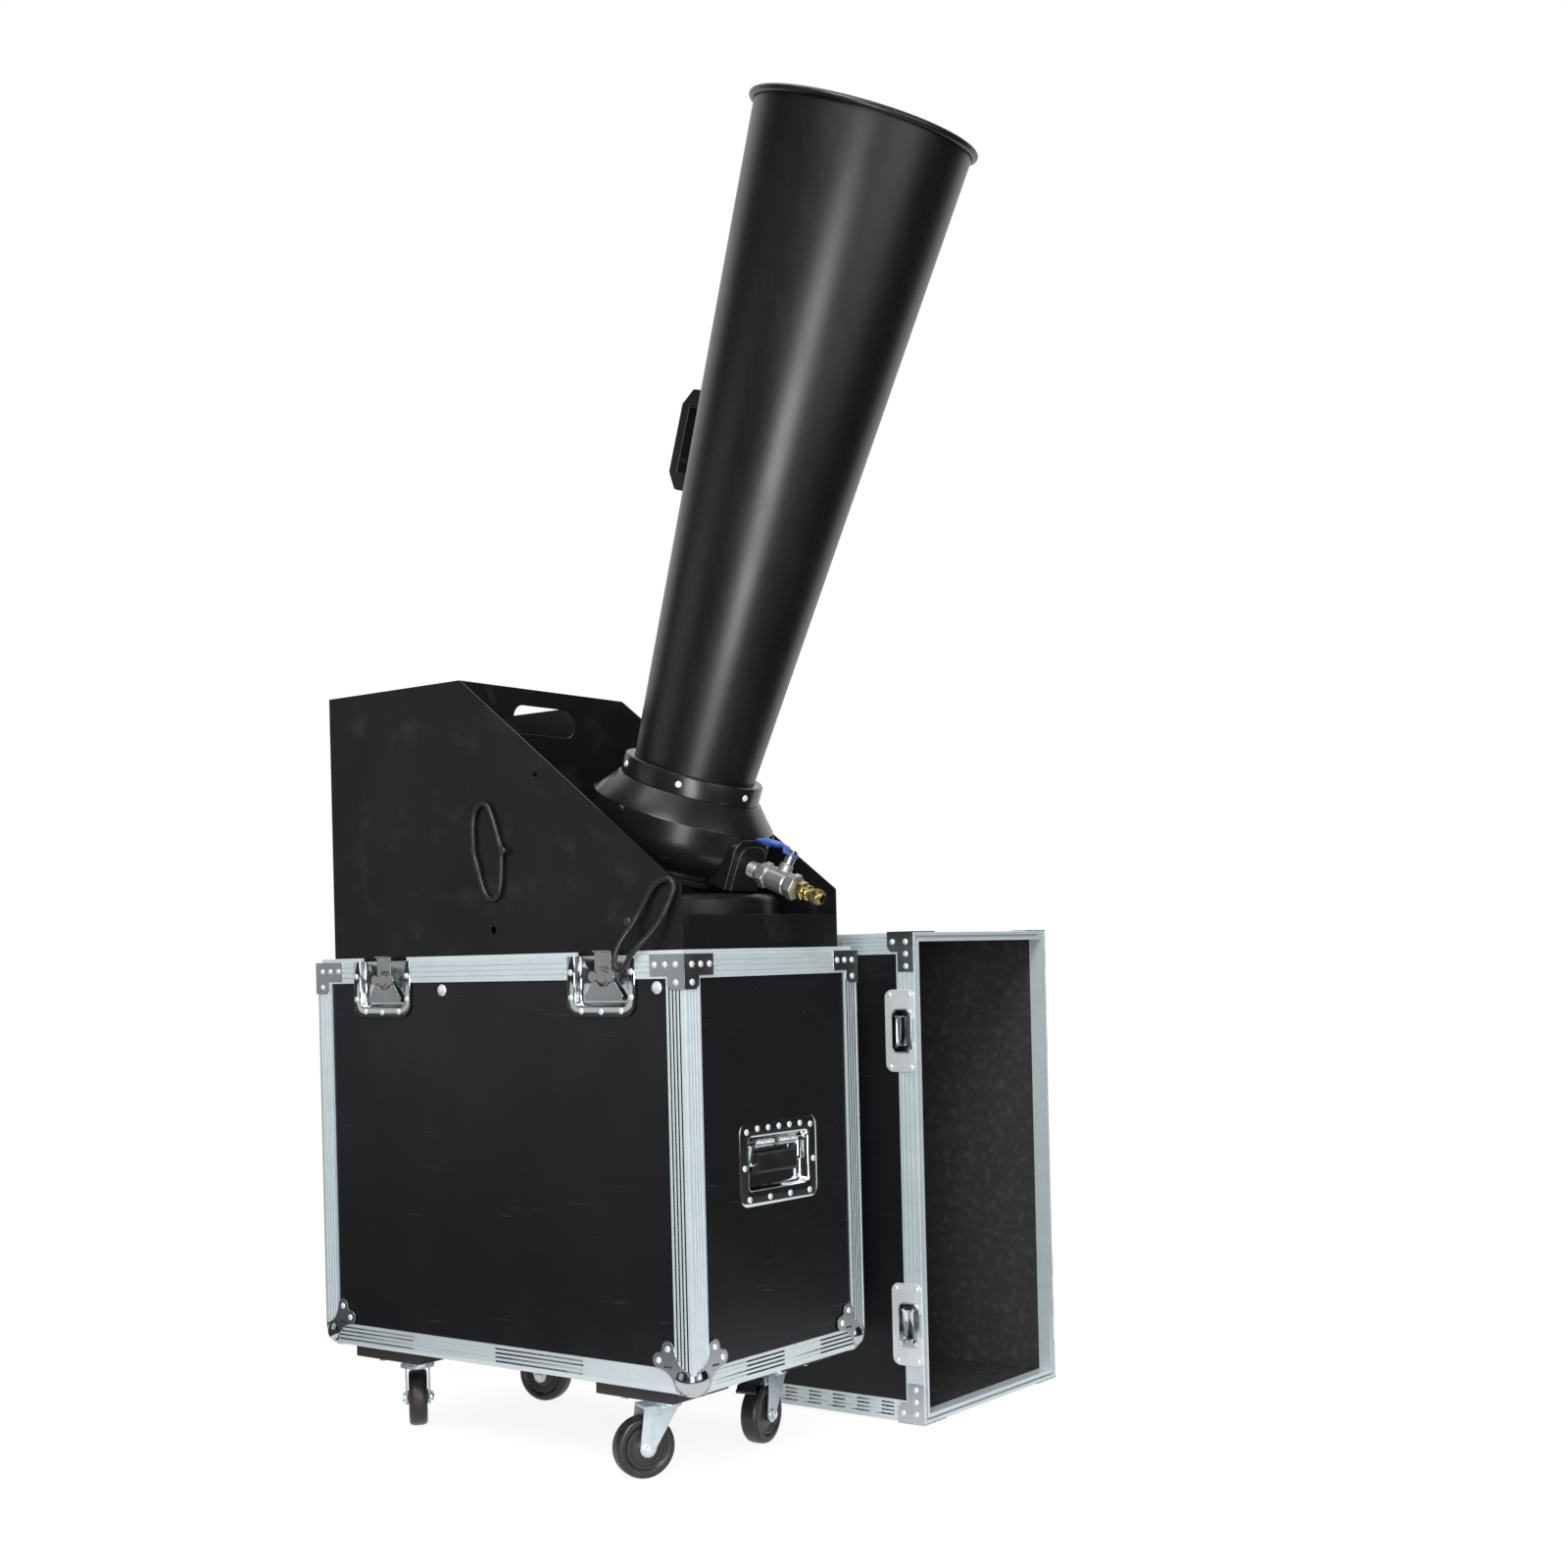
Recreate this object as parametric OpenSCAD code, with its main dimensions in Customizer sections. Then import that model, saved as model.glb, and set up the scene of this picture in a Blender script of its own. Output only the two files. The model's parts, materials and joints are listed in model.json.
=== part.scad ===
// Confetti blower: a flight case on castors, the steel hopper that stands in it, the air amplifier
// and conical blast tube on the hopper's deck, and the case's lift-off lid standing beside it.
// The blower throws towards +X. The two latches in front face -Y.

/* [Case] */
// Length of the case, along the throw
case_l = 684; // [640:1:760]
// Width of the case
case_w = 364; // [350:1:420]
// Height of the case from its underside to its rim
case_h = 540; // [500:1:600]
// Thickness of the laminated plywood
ply_t = 9; // [8:0.5:10]
// Width of each leg of the aluminium angle
angle_w = 30; // [26:1:34]
// Thickness of the aluminium angle
angle_t = 2; // [1.8:0.1:2.4]
// Height of the tongue that stands up from the rim
tongue_h = 5; // [3:0.5:6]
// Thickness of the tongue
tongue_t = 3; // [2:0.5:3.5]
// Thickness of the foam between the case's walls and the hopper
foam_t = 7; // [6.5:0.5:10]
// Thickness of the foam under the hopper
foam_floor_t = 20; // [10:1:30]
// Radius of the steel ball corners
ball_r = 22; // [20:0.5:23]
// How far a ball corner stands out of the case
ball_out = 4; // [3:0.5:5]
// Thickness of the plates that brace the corners
brace_t = 1.5; // [1:0.1:2]
// Radius of a rivet head
rivet_r = 3.2; // [2.5:0.1:4]
// Radius of the round-headed bolts below the rim
button_r = 8; // [6:0.5:10]
// Distance of the outer round-headed bolts from the case's front end
button_in = 46; // [42:1:50]
// Place of the inner round-headed bolts along the case
button_mid = -87; // [-110:1:-60]

/* [Lid] */
// Depth of the lid
lid_d = 310; // [280:1:340]
// How far the lid's open side stands beyond the case's end
lid_ahead = 37; // [20:1:60]
// Gap between the case's side and the lid
lid_aside = 86; // [60:1:120]

/* [Latches] */
// Distance of each latch from the middle of the case
latch_x = 205; // [180:1:220]
// Width of a latch dish
latch_w = 115; // [108:1:124]
// Height of a latch dish
latch_h = 77; // [72:1:82]
// Width of the dish's pan, which is open at the top
latch_pan_w = 90; // [84:1:94]
// Height of the dish's flange below the pan
latch_foot = 13; // [11:0.5:15]
// Thickness of the latch's steel sheet
latch_t = 1.5; // [1.2:0.1:1.6]
// Width of the latch hook
hook_w = 28; // [24:1:32]
// Travel of the latch hook
hook_travel = 5; // [4:0.5:6]
// Depth of the latch's hub below the rim
hub_drop = 26; // [24:0.5:27]
// Radius of the latch's hub
hub_plate_r = 13; // [11:0.5:14]
// Radius of the shaft that turns the hook
wing_shaft_r = 5; // [4:0.5:6]
// Half the length of the latch's wing
wing_reach = 22; // [18:1:24]

/* [Handles] */
// Height of the handles' middle above the case's underside
handle_z = 271; // [240:1:320]
// Width of a handle dish
handle_w = 163; // [156:1:172]
// Height of a handle dish
handle_h = 107; // [102:1:112]
// Width of the recess in a handle dish
recess_w = 126; // [120:1:132]
// Height of the recess in a handle dish
recess_h = 68; // [66:1:76]
// Length of the grip
grip_l = 82; // [70:1:86]
// Height of the grip
grip_h = 28; // [24:1:30]
// Thickness of the grip
grip_t = 11; // [9:0.5:11]
// Radius of the bow's rod
bow_r = 3.5; // [3:0.1:4]

/* [Castors] */
// Distance of each castor's swivel from the case's end
castor_in_l = 112; // [110:1:130]
// Distance of each castor's swivel from the case's side
castor_in_w = 70; // [66:1:84]
// Diameter of the wheels
wheel_d = 80; // [75:1:84]
// Width of the tyres
wheel_w = 26; // [22:1:30]
// Height of a castor from the floor to the top of its plate
castor_h = 107; // [105:1:120]
// How far the axle trails behind the swivel
castor_trail = 28; // [24:1:34]
// Length of a castor's top plate
plate_l = 95; // [85:1:105]
// Width of a castor's top plate
plate_w = 75; // [65:1:85]
// Thickness of a castor's top plate
plate_t = 2.5; // [2:0.5:4]
// Radius of the kingpin
kingpin_r = 5; // [4:0.5:6]
// Radius of the axle
axle_r = 4; // [3:0.5:5]
// Thickness of the boards between the castors and the case
board_t = 18; // [12:1:24]
// Length of a castor board
board_l = 130; // [120:1:130]
// Width of a castor board
board_w = 110; // [96:1:120]

/* [Hopper] */
// Thickness of the hopper's steel sheet
sheet_t = 3; // [2:0.5:4]
// Height of the hopper's top above the case's rim
hopper_rise = 376; // [330:1:420]
// Length of the bin behind the amplifier
bin_l = 267; // [240:1:280]
// Height of the deck's top above the case's rim
deck_rise = 49; // [40:1:60]
// Height of the cheeks' front corner above the case's rim
cheek_rise = 84; // [70:1:110]
// Width of the hand hole in the bin's front
hand_hole_w = 124; // [100:1:140]
// Height of the hand hole
hand_hole_h = 40; // [34:1:46]
// Drop from the hopper's top to the middle of the hand hole
hand_hole_drop = 43; // [38:1:60]
// Height of the chute's back edge above the hopper's bottom
chute_back_h = 360; // [300:1:380]
// Height of the chute's front edge above the hopper's bottom
chute_front_h = 40; // [20:1:80]

/* [Amplifier] */
// Lean of the amplifier and the tube towards the throw
tilt = 21; // [18:0.5:23]
// Distance of the amplifier's inlet from the bin's front
amp_ahead = 226; // [220:1:234]
// Height of the amplifier's inlet above the deck
amp_rise = 76; // [72:1:90]
// Outer radius of the amplifier
amp_r = 123; // [118:0.5:126]
// Height of the amplifier
amp_h = 104; // [100:1:112]
// Radius of the inlet flange
inlet_r = 98; // [95:0.5:102]
// Thickness of the inlet flange
flange_t = 8; // [6:0.5:9]
// Radius of the plenum inside the amplifier
plenum_r = 88; // [86:0.5:90]
// Radius of the outlet
outlet_r = 76; // [75:0.5:77]
// Bore radius of the throat
throat_r = 68; // [60:0.5:70]
// Outer radius of the pick-up pipe
pipe_r = 84; // [82:0.5:86]
// Wall of the pick-up pipe
pipe_t = 4; // [2:0.5:5]
// Length of the pick-up pipe below the inlet
pipe_l = 340; // [300:1:350]
// Radius of the round cover on the deck
cover_r = 150; // [144:1:154]
// Height of the round cover
cover_h = 28; // [22:1:32]

/* [Tube] */
// Length of the tube along its axis
tube_l = 850; // [700:1:950]
// Radius of the tube's lower end
tube_r0 = 80; // [78:0.5:82]
// Radius of the tube's mouth
tube_r1 = 140; // [120:0.5:160]
// Wall of the tube
tube_t = 2; // [1.5:0.1:3]
// Radius of the bead rolled round the mouth
bead_r = 4.5; // [3:0.5:6]
// Radius of the collar
collar_r = 94; // [90:0.5:96]
// Height of the collar
collar_h = 26; // [20:1:30]
// How deep the tube sits in the collar
tube_seat = 24; // [16:1:26]
// Length of the tube's handle
pull_l = 132; // [110:1:150]
// Height of the tube's handle
pull_h = 56; // [50:1:66]
// Width of the tube's handle
pull_w = 24; // [18:1:30]
// Thickness of the handle's bar
pull_bar = 14; // [11:0.5:16]
// Distance of the handle's middle from the tube's lower end
pull_at = 434; // [400:1:480]

/* [Valve] */
// Height of the valve's axis above the amplifier's inlet
valve_rise = 34; // [32:0.5:37]
// Lean of the valve's stem towards the lid
valve_lean = 15; // [0:1:20]
// How far the lever is turned from fully open
lever_turn = 12; // [0:1:16]
// Width of the air boss
boss_w = 70; // [60:1:80]
// Distance of the boss's face from the amplifier's axis
boss_out = 133; // [130:0.5:136]
// Distance of the ball's middle from the amplifier's axis
ball_at = 184; // [182:0.5:190]
// Radius of the valve's ball
valve_ball_r = 12; // [11:0.5:12.5]
// Radius of the valve's bore
valve_bore_r = 8; // [6:0.5:8.5]
// Radius of the valve's stem
stem_r = 4; // [3:0.5:4.5]
// Radius of the valve's barrel
valve_r = 15.5; // [15:0.5:17]
// Length of the valve
valve_l = 60; // [56:1:64]
// Width of the lever
lever_w = 18; // [14:1:22]
// Length of the brass hose coupling
coupling_l = 42; // [36:1:50]
// Bore radius of the hose coupling
coupling_bore_r = 4.5; // [3:0.5:5]

/* [Hidden] */
$fn = 64;
eps = 0.01;
// Running clearance of a pin in its hole, on the radius
run_gap = 0.05;
// Clearance of a pan in the hole cut for it
fit_gap = 0.2;
// Clearance between parts that move past each other
move_gap = 0.3;

// Clearance behind the pans of the latches and the handles
pan_gap = 0.5;
// Length of the tools that drill right through small pieces
through = 90;

// Case, measured from its own underside
case_z = castor_h + board_t;
skin = angle_t + ply_t;
in_l = case_l - 2 * skin;
in_w = case_w - 2 * skin;
rim_z = case_z + case_h;
inner_leg = 20;
// The tongue stands in the middle of the plywood's edge
tongue_in = angle_t + ply_t / 2 - tongue_t / 2;
groove_gap = 0.3;
brace_l = 55;
brace_d = 27;
brace_leg = 44;
petal_foot = 32;
petal_hollow = 30;
lobe_r = 10;
petal_lobes = [[-40, 55], [-55, 40]];
petal_slot = 16;
lobe_link = 20;
lobe_back = 50;
// Length of the solid foot at each end of the tube's handle
pull_foot = 22;
rivet_h = 1.6;

// Hopper
hop_l = in_l - 2 * foam_t;
hop_w = in_w - 2 * foam_t;
hop_z = case_z + skin + foam_floor_t;
hop_top = rim_z + hopper_rise;
deck_z = rim_z + deck_rise;
bin_x = -hop_l / 2 + bin_l;

// Amplifier, with its own axis along local Z and its inlet at local Z 0
amp_x = bin_x + amp_ahead;
amp_z = deck_z + amp_rise;
tube_z = amp_h + collar_h - tube_seat;
tube_slope = (tube_r1 - tube_r0) / tube_l;
valve_z = valve_rise;
boss_step = 5;
// Gap between the lever's tip and the boss when the valve is fully open
lever_gap = 1.5;
lever_l = ball_at - boss_out + boss_step - lever_gap;
barrel_x0 = ball_at - valve_l / 2;
barrel_x1 = ball_at + valve_l / 2;

// Lid, in its own frame with the rim at Z 0 and the top at Z lid_d
lid_x = case_l / 2 + lid_ahead;
lid_y = case_w / 2 + lid_aside + case_w / 2;
lid_z = case_l / 2 + ball_out;

// Depth of the pans, which stop short of the foam and of the hopper
latch_pan_d = skin - latch_t - pan_gap;
recess_d = ply_t + foam_t - latch_t - pan_gap;

// Castors: trailing direction of each, in degrees
castor_turn = [-117, 138, -80, 13];
castor_side = [[1, -1], [-1, -1], [1, 1], [-1, 1]];
castor_x = case_l / 2 - castor_in_l;
castor_y = case_w / 2 - castor_in_w;
fork_top = castor_h - plate_t - 11;
axle_z = wheel_d / 2;
hub_r = wheel_d / 2 - 13;
fork_gap = 2;
fork_t = 2.5;
yoke_back = 16;
yoke_front = 32;

// Latches: middle and side of each
latch_side = [[-1, -1], [1, -1], [-1, 1], [1, 1]];
latch_drop = 43;
latch_mid = rim_z - latch_drop;
// Loops of coated wire rope on the right cheek: points along each, measured from the middle of the
// case's rim, with Y from the case's side
rope_r = 3.2;
loop_back = [[-15, 206], [-27, 200], [-33, 185], [-34, 165], [-33, 143], [-26, 120], [-18, 97],
    [-10, 83], [-1, 78], [8, 81], [14, 91], [17, 110], [18, 142], [12, 163], [4, 185], [-4, 201]];
loop_front = [[312, 91, 14], [300, 92, 14], [284, 84, 13.5], [268, 62, 12], [254, 40, 8], [244, 24, 2],
    [237, 8, -4.5], [235, -6, -7.5], [238, -15, -8], [245, -19, -8], [253, -13, -7.5], [262, 0, -6.5],
    [272, 12, -2.5], [283, 24, 3.5], [297, 42, 9.5], [308, 62, 12.5], [316, 80, 14]];
// Holes in the right cheek: place along the case, height above the rim, radius
cheek_holes = [[80, 238, 4], [-3, 38, 5]];
// Studs that hold the loops: place along the case, height above the rim, length
stud_r = 2.5;
studs = [[24, 142, 7], [246, 42, 12]];
stud_head_r = 5.5;

// The origin is on the floor, in the middle of the whole object's box
reach_x = amp_x + (tube_z + tube_l) * sin(tilt) + (tube_r1 + bead_r / 2) * cos(tilt) + bead_r;
reach_y = case_w / 2 + 8 + rope_r;
mid_x = (reach_x - case_l / 2 - ball_out) / 2;
mid_y = (lid_y + case_w / 2 + ball_out - reach_y) / 2;

module placed() { translate([-mid_x, -mid_y, 0]) children(); }
module at_case() { placed() translate([0, 0, case_z]) children(); }
module at_lid() { placed() translate([lid_x, lid_y, lid_z]) rotate([0, -90, 0]) children(); }
module at_amp() { placed() translate([amp_x, 0, amp_z]) rotate([0, tilt, 0]) children(); }
module at_valve() { at_amp() translate([0, 0, valve_z]) rotate([-valve_lean, 0, 0]) children(); }

// A block centred on X and Y that stands on Z z0
module block(l, w, h, z0 = 0) { translate([-l / 2, -w / 2, z0]) cube([l, w, h]); }
// A rectangular ring
module frame_ring(l, w, t, h, z0 = 0) {
    difference() {
        block(l, w, h, z0);
        block(l - 2 * t, w - 2 * t, h + 2 * eps, z0 - eps);
    }
}
// Repeats on the four corners, with the child drawn for +X +Y
module four_corners() {
    for (sx = [-1, 1], sy = [-1, 1]) scale_sides(sx, sy) children();
}
module scale_sides(sx, sy) {
    mirror([sx < 0 ? 1 : 0, 0, 0]) mirror([0, sy < 0 ? 1 : 0, 0]) children();
}
// A rounded rectangle standing in the XZ plane, t thick towards +Y
module plate_xz(w, h, r, t) {
    rotate([90, 0, 0]) translate([0, 0, -t]) linear_extrude(t) rounded(w, h, r);
}
module rounded(w, h, r) {
    square([w - 2 * r, h], center = true);
    square([w, h - 2 * r], center = true);
    for (x = [-1, 1], y = [-1, 1]) translate([x * (w / 2 - r), y * (h / 2 - r)]) circle(r, $fn = 32);
}

// Case shell, drawn from its closed end at Z 0 to its rim at Z h
module shell_panel() {
    difference() {
        block(case_l - 2 * angle_t, case_w - 2 * angle_t, ply_t, angle_t);
        corner_notches();
    }
}
module shell_walls(h, edge) {
    difference() {
        frame_ring(case_l - 2 * angle_t, case_w - 2 * angle_t, ply_t, h - skin - edge, skin);
        children();
    }
}
module shell_angles(h) {
    four_corners() translate([case_l / 2, case_w / 2, angle_w]) corner_angle(h - 2 * angle_w);
    difference() {
        block(case_l, case_w, angle_w);
        block(case_l - 2 * angle_t, case_w - 2 * angle_t, angle_w, angle_t);
        block(case_l - 2 * angle_w, case_w - 2 * angle_w, angle_w, -1);
        corner_notches();
    }
}
module corner_angle(h) {
    translate([-angle_w, -angle_t, 0]) cube([angle_w, angle_t, h]);
    translate([-angle_t, -angle_w, 0]) cube([angle_t, angle_w, h]);
}
module shell_rim(h) {
    frame_ring(case_l, case_w, angle_t, angle_w, h - angle_w);
    frame_ring(case_l - 2 * angle_t, case_w - 2 * angle_t, ply_t, angle_t, h - angle_t);
    frame_ring(in_l, in_w, angle_t, inner_leg, h - inner_leg);
}
// Steel ball that fills the notch at a corner and stands out of the case
module ball_corner() {
    reach = 60;
    difference() {
        translate([case_l / 2 + ball_out - ball_r, case_w / 2 + ball_out - ball_r, ball_r - ball_out])
            hull() sphere(ball_r, $fn = 40);
        translate([case_l / 2 - reach, case_w / 2 - reach, 0]) {
            cube([reach - skin, reach, reach]);
            cube([reach, reach - skin, reach]);
            translate([0, 0, skin]) cube(reach);
        }
    }
}
module corner_notches() {
    four_corners() translate([case_l / 2 - skin, case_w / 2 - skin, -1]) cube(skin + 1);
}
// Plates round a ball corner: a petal on each upright face and a square on the end
module corner_plate() {
    for (turn = [0, 1]) translate([case_l / 2, case_w / 2, 0]) mirror([turn, -turn, 0])
        translate([0, brace_t, 0]) rotate([90, 0, 0]) linear_extrude(brace_t) petal();
    translate([case_l / 2, case_w / 2, -brace_t]) mirror([0, 1, 0]) linear_extrude(brace_t) petal_root(brace_t);
}
// Square round the ball's opening, drawn with the case's corner at the origin
module petal_root(low) {
    opening = sqrt(ball_r * ball_r - (ball_r - ball_out) * (ball_r - ball_out)) + run_gap;
    difference() {
        translate([-petal_foot, -low]) square([petal_foot + brace_t, petal_foot + low]);
        translate([-skin, -skin]) square(2 * skin);
        translate([ball_out - ball_r, ball_r - ball_out]) circle(opening);
    }
}
// Petal with hollow sides and two round lobes at -X +Y
module petal() {
    petal_root(0);
    difference() {
        union() {
            translate([-petal_foot - petal_slot, petal_foot + 2 - lobe_link]) square(lobe_link);
            translate([-petal_foot - 2, petal_foot - 2]) square(lobe_link);
            for (p = petal_lobes) translate(p) circle(lobe_r, $fn = 32);
            translate([-lobe_back, lobe_link * 1.5]) square(lobe_link);
        }
        translate([-petal_foot - petal_hollow - 0.5, 0]) circle(petal_hollow);
        translate([0, petal_foot + petal_hollow + 0.5]) circle(petal_hollow);
        translate([-petal_foot - petal_slot + 2, petal_foot - 1]) square([petal_slot - 2, 3]);
        translate([ball_out - ball_r, ball_r - ball_out]) circle(petal_foot / 2);
    }
}
// Brace on a rim corner: an L-shaped plate on each face, joined round the corner
module rim_brace(h) {
    for (turn = [0, 1]) translate([case_l / 2, case_w / 2, 0]) mirror([turn, -turn, 0])
        translate([0, brace_t, h]) rotate([90, 0, 0]) linear_extrude(brace_t) {
            polygon([[brace_t, 0], [-brace_l, 0], [-brace_l, -brace_d], [-brace_d, -brace_d],
                [-brace_d, 6 - brace_leg], [6 - brace_d, -brace_leg], [brace_t, -brace_leg]]);
        }
}
// Domed head that stands on Z 0
module dome(r, h) { cylinder(h = h, r1 = r, r2 = r * 0.55, $fn = 24); }
module rivet() { dome(rivet_r, rivet_h); }
// Places rivets on a wing plate and on a brace, on both faces of the +X +Y corner
module corner_rivets(spots) {
    for (turn = [0, 1], p = spots) translate([case_l / 2, case_w / 2, 0]) mirror([turn, -turn, 0])
        translate([-p[0], brace_t, p[1]]) rotate([-90, 0, 0]) rivet();
}
ball_spots = [for (p = petal_lobes) [-p[0], p[1]]];
function brace_spots(h) = [[brace_l - 8, h - 13], [brace_l - 25, h - 13], [13, h - 13], [13, h - 35]];

module floor_panel() { color("black") at_case() shell_panel(); }
module wall_panels() {
    color([0.07, 0.07, 0.08]) at_case() shell_walls(case_h, angle_t) {
        latch_cuts();
        handle_cuts();
    }
}
module edge_angles() { color("silver") at_case() shell_angles(case_h); }
module rim_frame() {
    color("gainsboro") at_case() difference() {
        union() {
            shell_rim(case_h);
            frame_ring(case_l - 2 * tongue_in, case_w - 2 * tongue_in, tongue_t, tongue_h, case_h);
        }
        latch_cuts();
    }
}
module ball_corners() { color("silver") at_case() four_corners() ball_corner(); }
module corner_plates() {
    color("gray") at_case() four_corners() {
        corner_plate();
        rim_brace(case_h);
    }
}
module foam_lining() {
    color([0.16, 0.16, 0.17]) at_case() difference() {
        union() {
            block(in_l, in_w, foam_floor_t, skin);
            frame_ring(in_l, in_w, foam_t, case_h - skin - foam_floor_t - inner_leg - 1, skin + foam_floor_t);
        }
        handle_cuts();
    }
}
module fasteners() {
    color("silver") at_amp() {
        for (a = [0:60:300]) rotate([0, 0, a]) translate([collar_r, 0, amp_h + collar_h / 2])
            rotate([0, 90, 0]) cylinder(h = 2, r1 = 4.5, r2 = 3);
        for (a = [30:60:330]) rotate([0, 0, a]) translate([amp_r, 0, amp_h - 36])
            rotate([0, 90, 0]) cylinder(h = 3, r = 5, $fn = 6);
    }
    color("silver") at_case() {
        four_corners() {
            corner_rivets(ball_spots);
            corner_rivets(brace_spots(case_h));
        }
        for (s = latch_side) at_latch(s) translate([0, latch_t, 0]) rotate([-90, 0, 0]) {
            for (x = [-1, 1], z = [-18, 14]) translate([x * (latch_w / 2 - 6), z]) rivet();
            for (x = [-1, 0, 1]) translate([x * latch_w / 3.4, latch_h / 2 - latch_foot / 2 - x * x]) rivet();
        }
        for (s = [-1, 1]) at_handle(s) translate([0, latch_t, 0]) rotate([-90, 0, 0]) {
            for (i = [-3:3]) translate([i * (handle_w / 2 - 14) / 3, 9 - handle_h / 2 + (abs(i) == 3 ? 3 : 0)])
                rivet();
            for (i = [-1.5:1.5]) translate([i * (handle_w / 2 - 18) / 1.5, handle_h / 2 - 9]) rivet();
            for (x = [-1, 1]) translate([x * (handle_w / 2 - 9), 4]) rivet();
        }
        for (x = [button_mid, case_l / 2 - button_in], s = [-1, 1])
            translate([x, s * (case_w / 2 - angle_t), case_h - angle_w - button_r - 3]) rotate([-90 * s, 0, 0])
                dome(button_r, 4);
    }
}

// Latches: local X along the case, local Y outwards from its side, local Z up from the dish's middle
module at_latch(s) {
    translate([s[0] * latch_x, s[1] * case_w / 2, case_h - latch_h / 2])
        mirror([0, s[1] < 0 ? 1 : 0, 0]) children();
}
pan_foot = latch_foot - latch_h / 2;
hub_z = latch_h / 2 - hub_drop;
module latch_cuts() {
    for (s = latch_side) at_latch(s) translate([0, -skin, pan_foot - fit_gap])
        block_y(latch_pan_w + 2 * fit_gap, skin + 1, latch_h);
}
// A block centred on X that starts at Y 0 and Z 0
module block_y(l, w, h) { translate([-l / 2, 0, 0]) cube([l, w, h]); }
module latch_dish() {
    difference() {
        union() {
            plate_xz(latch_w, latch_h, 19, latch_t);
            block_y(latch_w, latch_t, latch_h / 2);
            translate([0, -angle_t, -latch_h / 2 + 12]) block_y(latch_w - 12, angle_t, latch_h - angle_w - 12);
            translate([0, -latch_pan_d - latch_t, pan_foot])
                block_y(latch_pan_w, latch_pan_d + latch_t, latch_h / 2 - pan_foot);
        }
        translate([0, -latch_pan_d, pan_foot + latch_t])
            block_y(latch_pan_w - 2 * latch_t, latch_pan_d + 9, latch_h);
    }
    translate([0, -latch_pan_d, hub_z]) rotate([-90, 0, 0]) difference() {
        cylinder(h = latch_pan_d - 5 - move_gap, r = wing_shaft_r + 4);
        cylinder(h = latch_pan_d, r = wing_shaft_r + run_gap);
    }
}
module latch_dishes() { color("silver") at_case() for (s = latch_side) at_latch(s) latch_dish(); }
// Triangular plate with the hook's tab at its top, in front of the pan's back
module latch_hook(i) {
    foot = pan_foot + latch_t + hook_travel + 1;
    wide = latch_pan_w / 2 - latch_t - 5;
    color("lightgray") at_case() at_latch(latch_side[i - 1]) difference() {
        union() {
            translate([0, -5 + latch_t, 0]) rotate([90, 0, 0]) linear_extrude(latch_t) difference() {
                polygon([[-hook_w / 2, latch_h / 2 + 7], [-hook_w / 2, hub_z], [5 - wide, foot + 5],
                    [8 - wide, foot], [wide - 8, foot], [wide - 5, foot + 5], [hook_w / 2, hub_z],
                    [hook_w / 2, latch_h / 2 + 7]]);
                for (z = [0, hook_travel]) translate([0, hub_z + z]) circle(wing_shaft_r + move_gap);
                translate([-wing_shaft_r - move_gap, hub_z])
                    square([2 * (wing_shaft_r + move_gap), hook_travel]);
            }
            translate([0, -5, latch_h / 2 + 5]) block_y(hook_w, 6, 2);
        }
    }
}
// Hub disc and wing on the shaft that turns the hook's crank
module latch_wing(i) {
    color("whitesmoke") at_case() at_latch(latch_side[i - 1]) translate([0, 0, hub_z]) rotate([-90, 0, 0]) {
        translate([0, 0, -latch_pan_d + move_gap]) cylinder(h = latch_pan_d - move_gap, r = wing_shaft_r);
        translate([0, 0, -5 + latch_t + move_gap]) cylinder(h = 1.7, r = hub_plate_r);
        translate([0, 0, -latch_t]) linear_extrude(2) {
            circle(8);
            for (x = [-1, 1]) translate([x * (wing_reach - 7), 0]) circle(7);
            square([2 * (wing_reach - 7), 9], center = true);
        }
    }
}

// Handles: local X across the case, local Y outwards from the plywood of its end, local Z up
module at_handle(s) {
    translate([s * (case_l / 2 - angle_t), 0, handle_z]) mirror([s < 0 ? 1 : 0, 0, 0]) rotate([0, 0, -90])
        children();
}
pivot_in = grip_t / 2 + 1;
pivot_up = recess_h / 2 - 10;
grip_down = 25;
bow_x = recess_w / 2 - 13;
module handle_cuts() {
    for (s = [-1, 1]) at_handle(s) translate([0, -skin - foam_t, -recess_h / 2 - fit_gap])
        block_y(recess_w + 2 * fit_gap, skin + foam_t + 3, recess_h + 2 * fit_gap);
}
module handle_dish() {
    difference() {
        union() {
            plate_xz(handle_w, handle_h, 14, latch_t);
            translate([0, -recess_d - latch_t, -recess_h / 2]) block_y(recess_w, recess_d + latch_t, recess_h);
        }
        translate([0, -recess_d, -recess_h / 2 + latch_t])
            block_y(recess_w - 2 * latch_t, recess_d + 9, recess_h - 2 * latch_t);
        translate([-recess_w / 2 - 1, -pivot_in, pivot_up]) rotate([0, 90, 0])
            cylinder(h = recess_w + 2, r = bow_r + run_gap);
    }
}
module handle_dishes() { color("silver") at_case() for (s = [-1, 1]) at_handle(s) handle_dish(); }
module handle_bow(s) {
    color("gainsboro") at_case() at_handle(s) translate([0, -pivot_in, pivot_up]) {
        translate([move_gap - recess_w / 2, 0, 0]) rotate([0, 90, 0])
            cylinder(h = recess_w - 2 * move_gap, r = bow_r);
        for (x = [-1, 1]) {
            translate([x * bow_x, 0, -grip_down]) cylinder(h = grip_down, r = bow_r);
            translate([x * bow_x, 0, -grip_down]) sphere(bow_r);
        }
        translate([-bow_x, 0, -grip_down]) rotate([0, 90, 0]) cylinder(h = 2 * bow_x, r = bow_r);
    }
}
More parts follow.
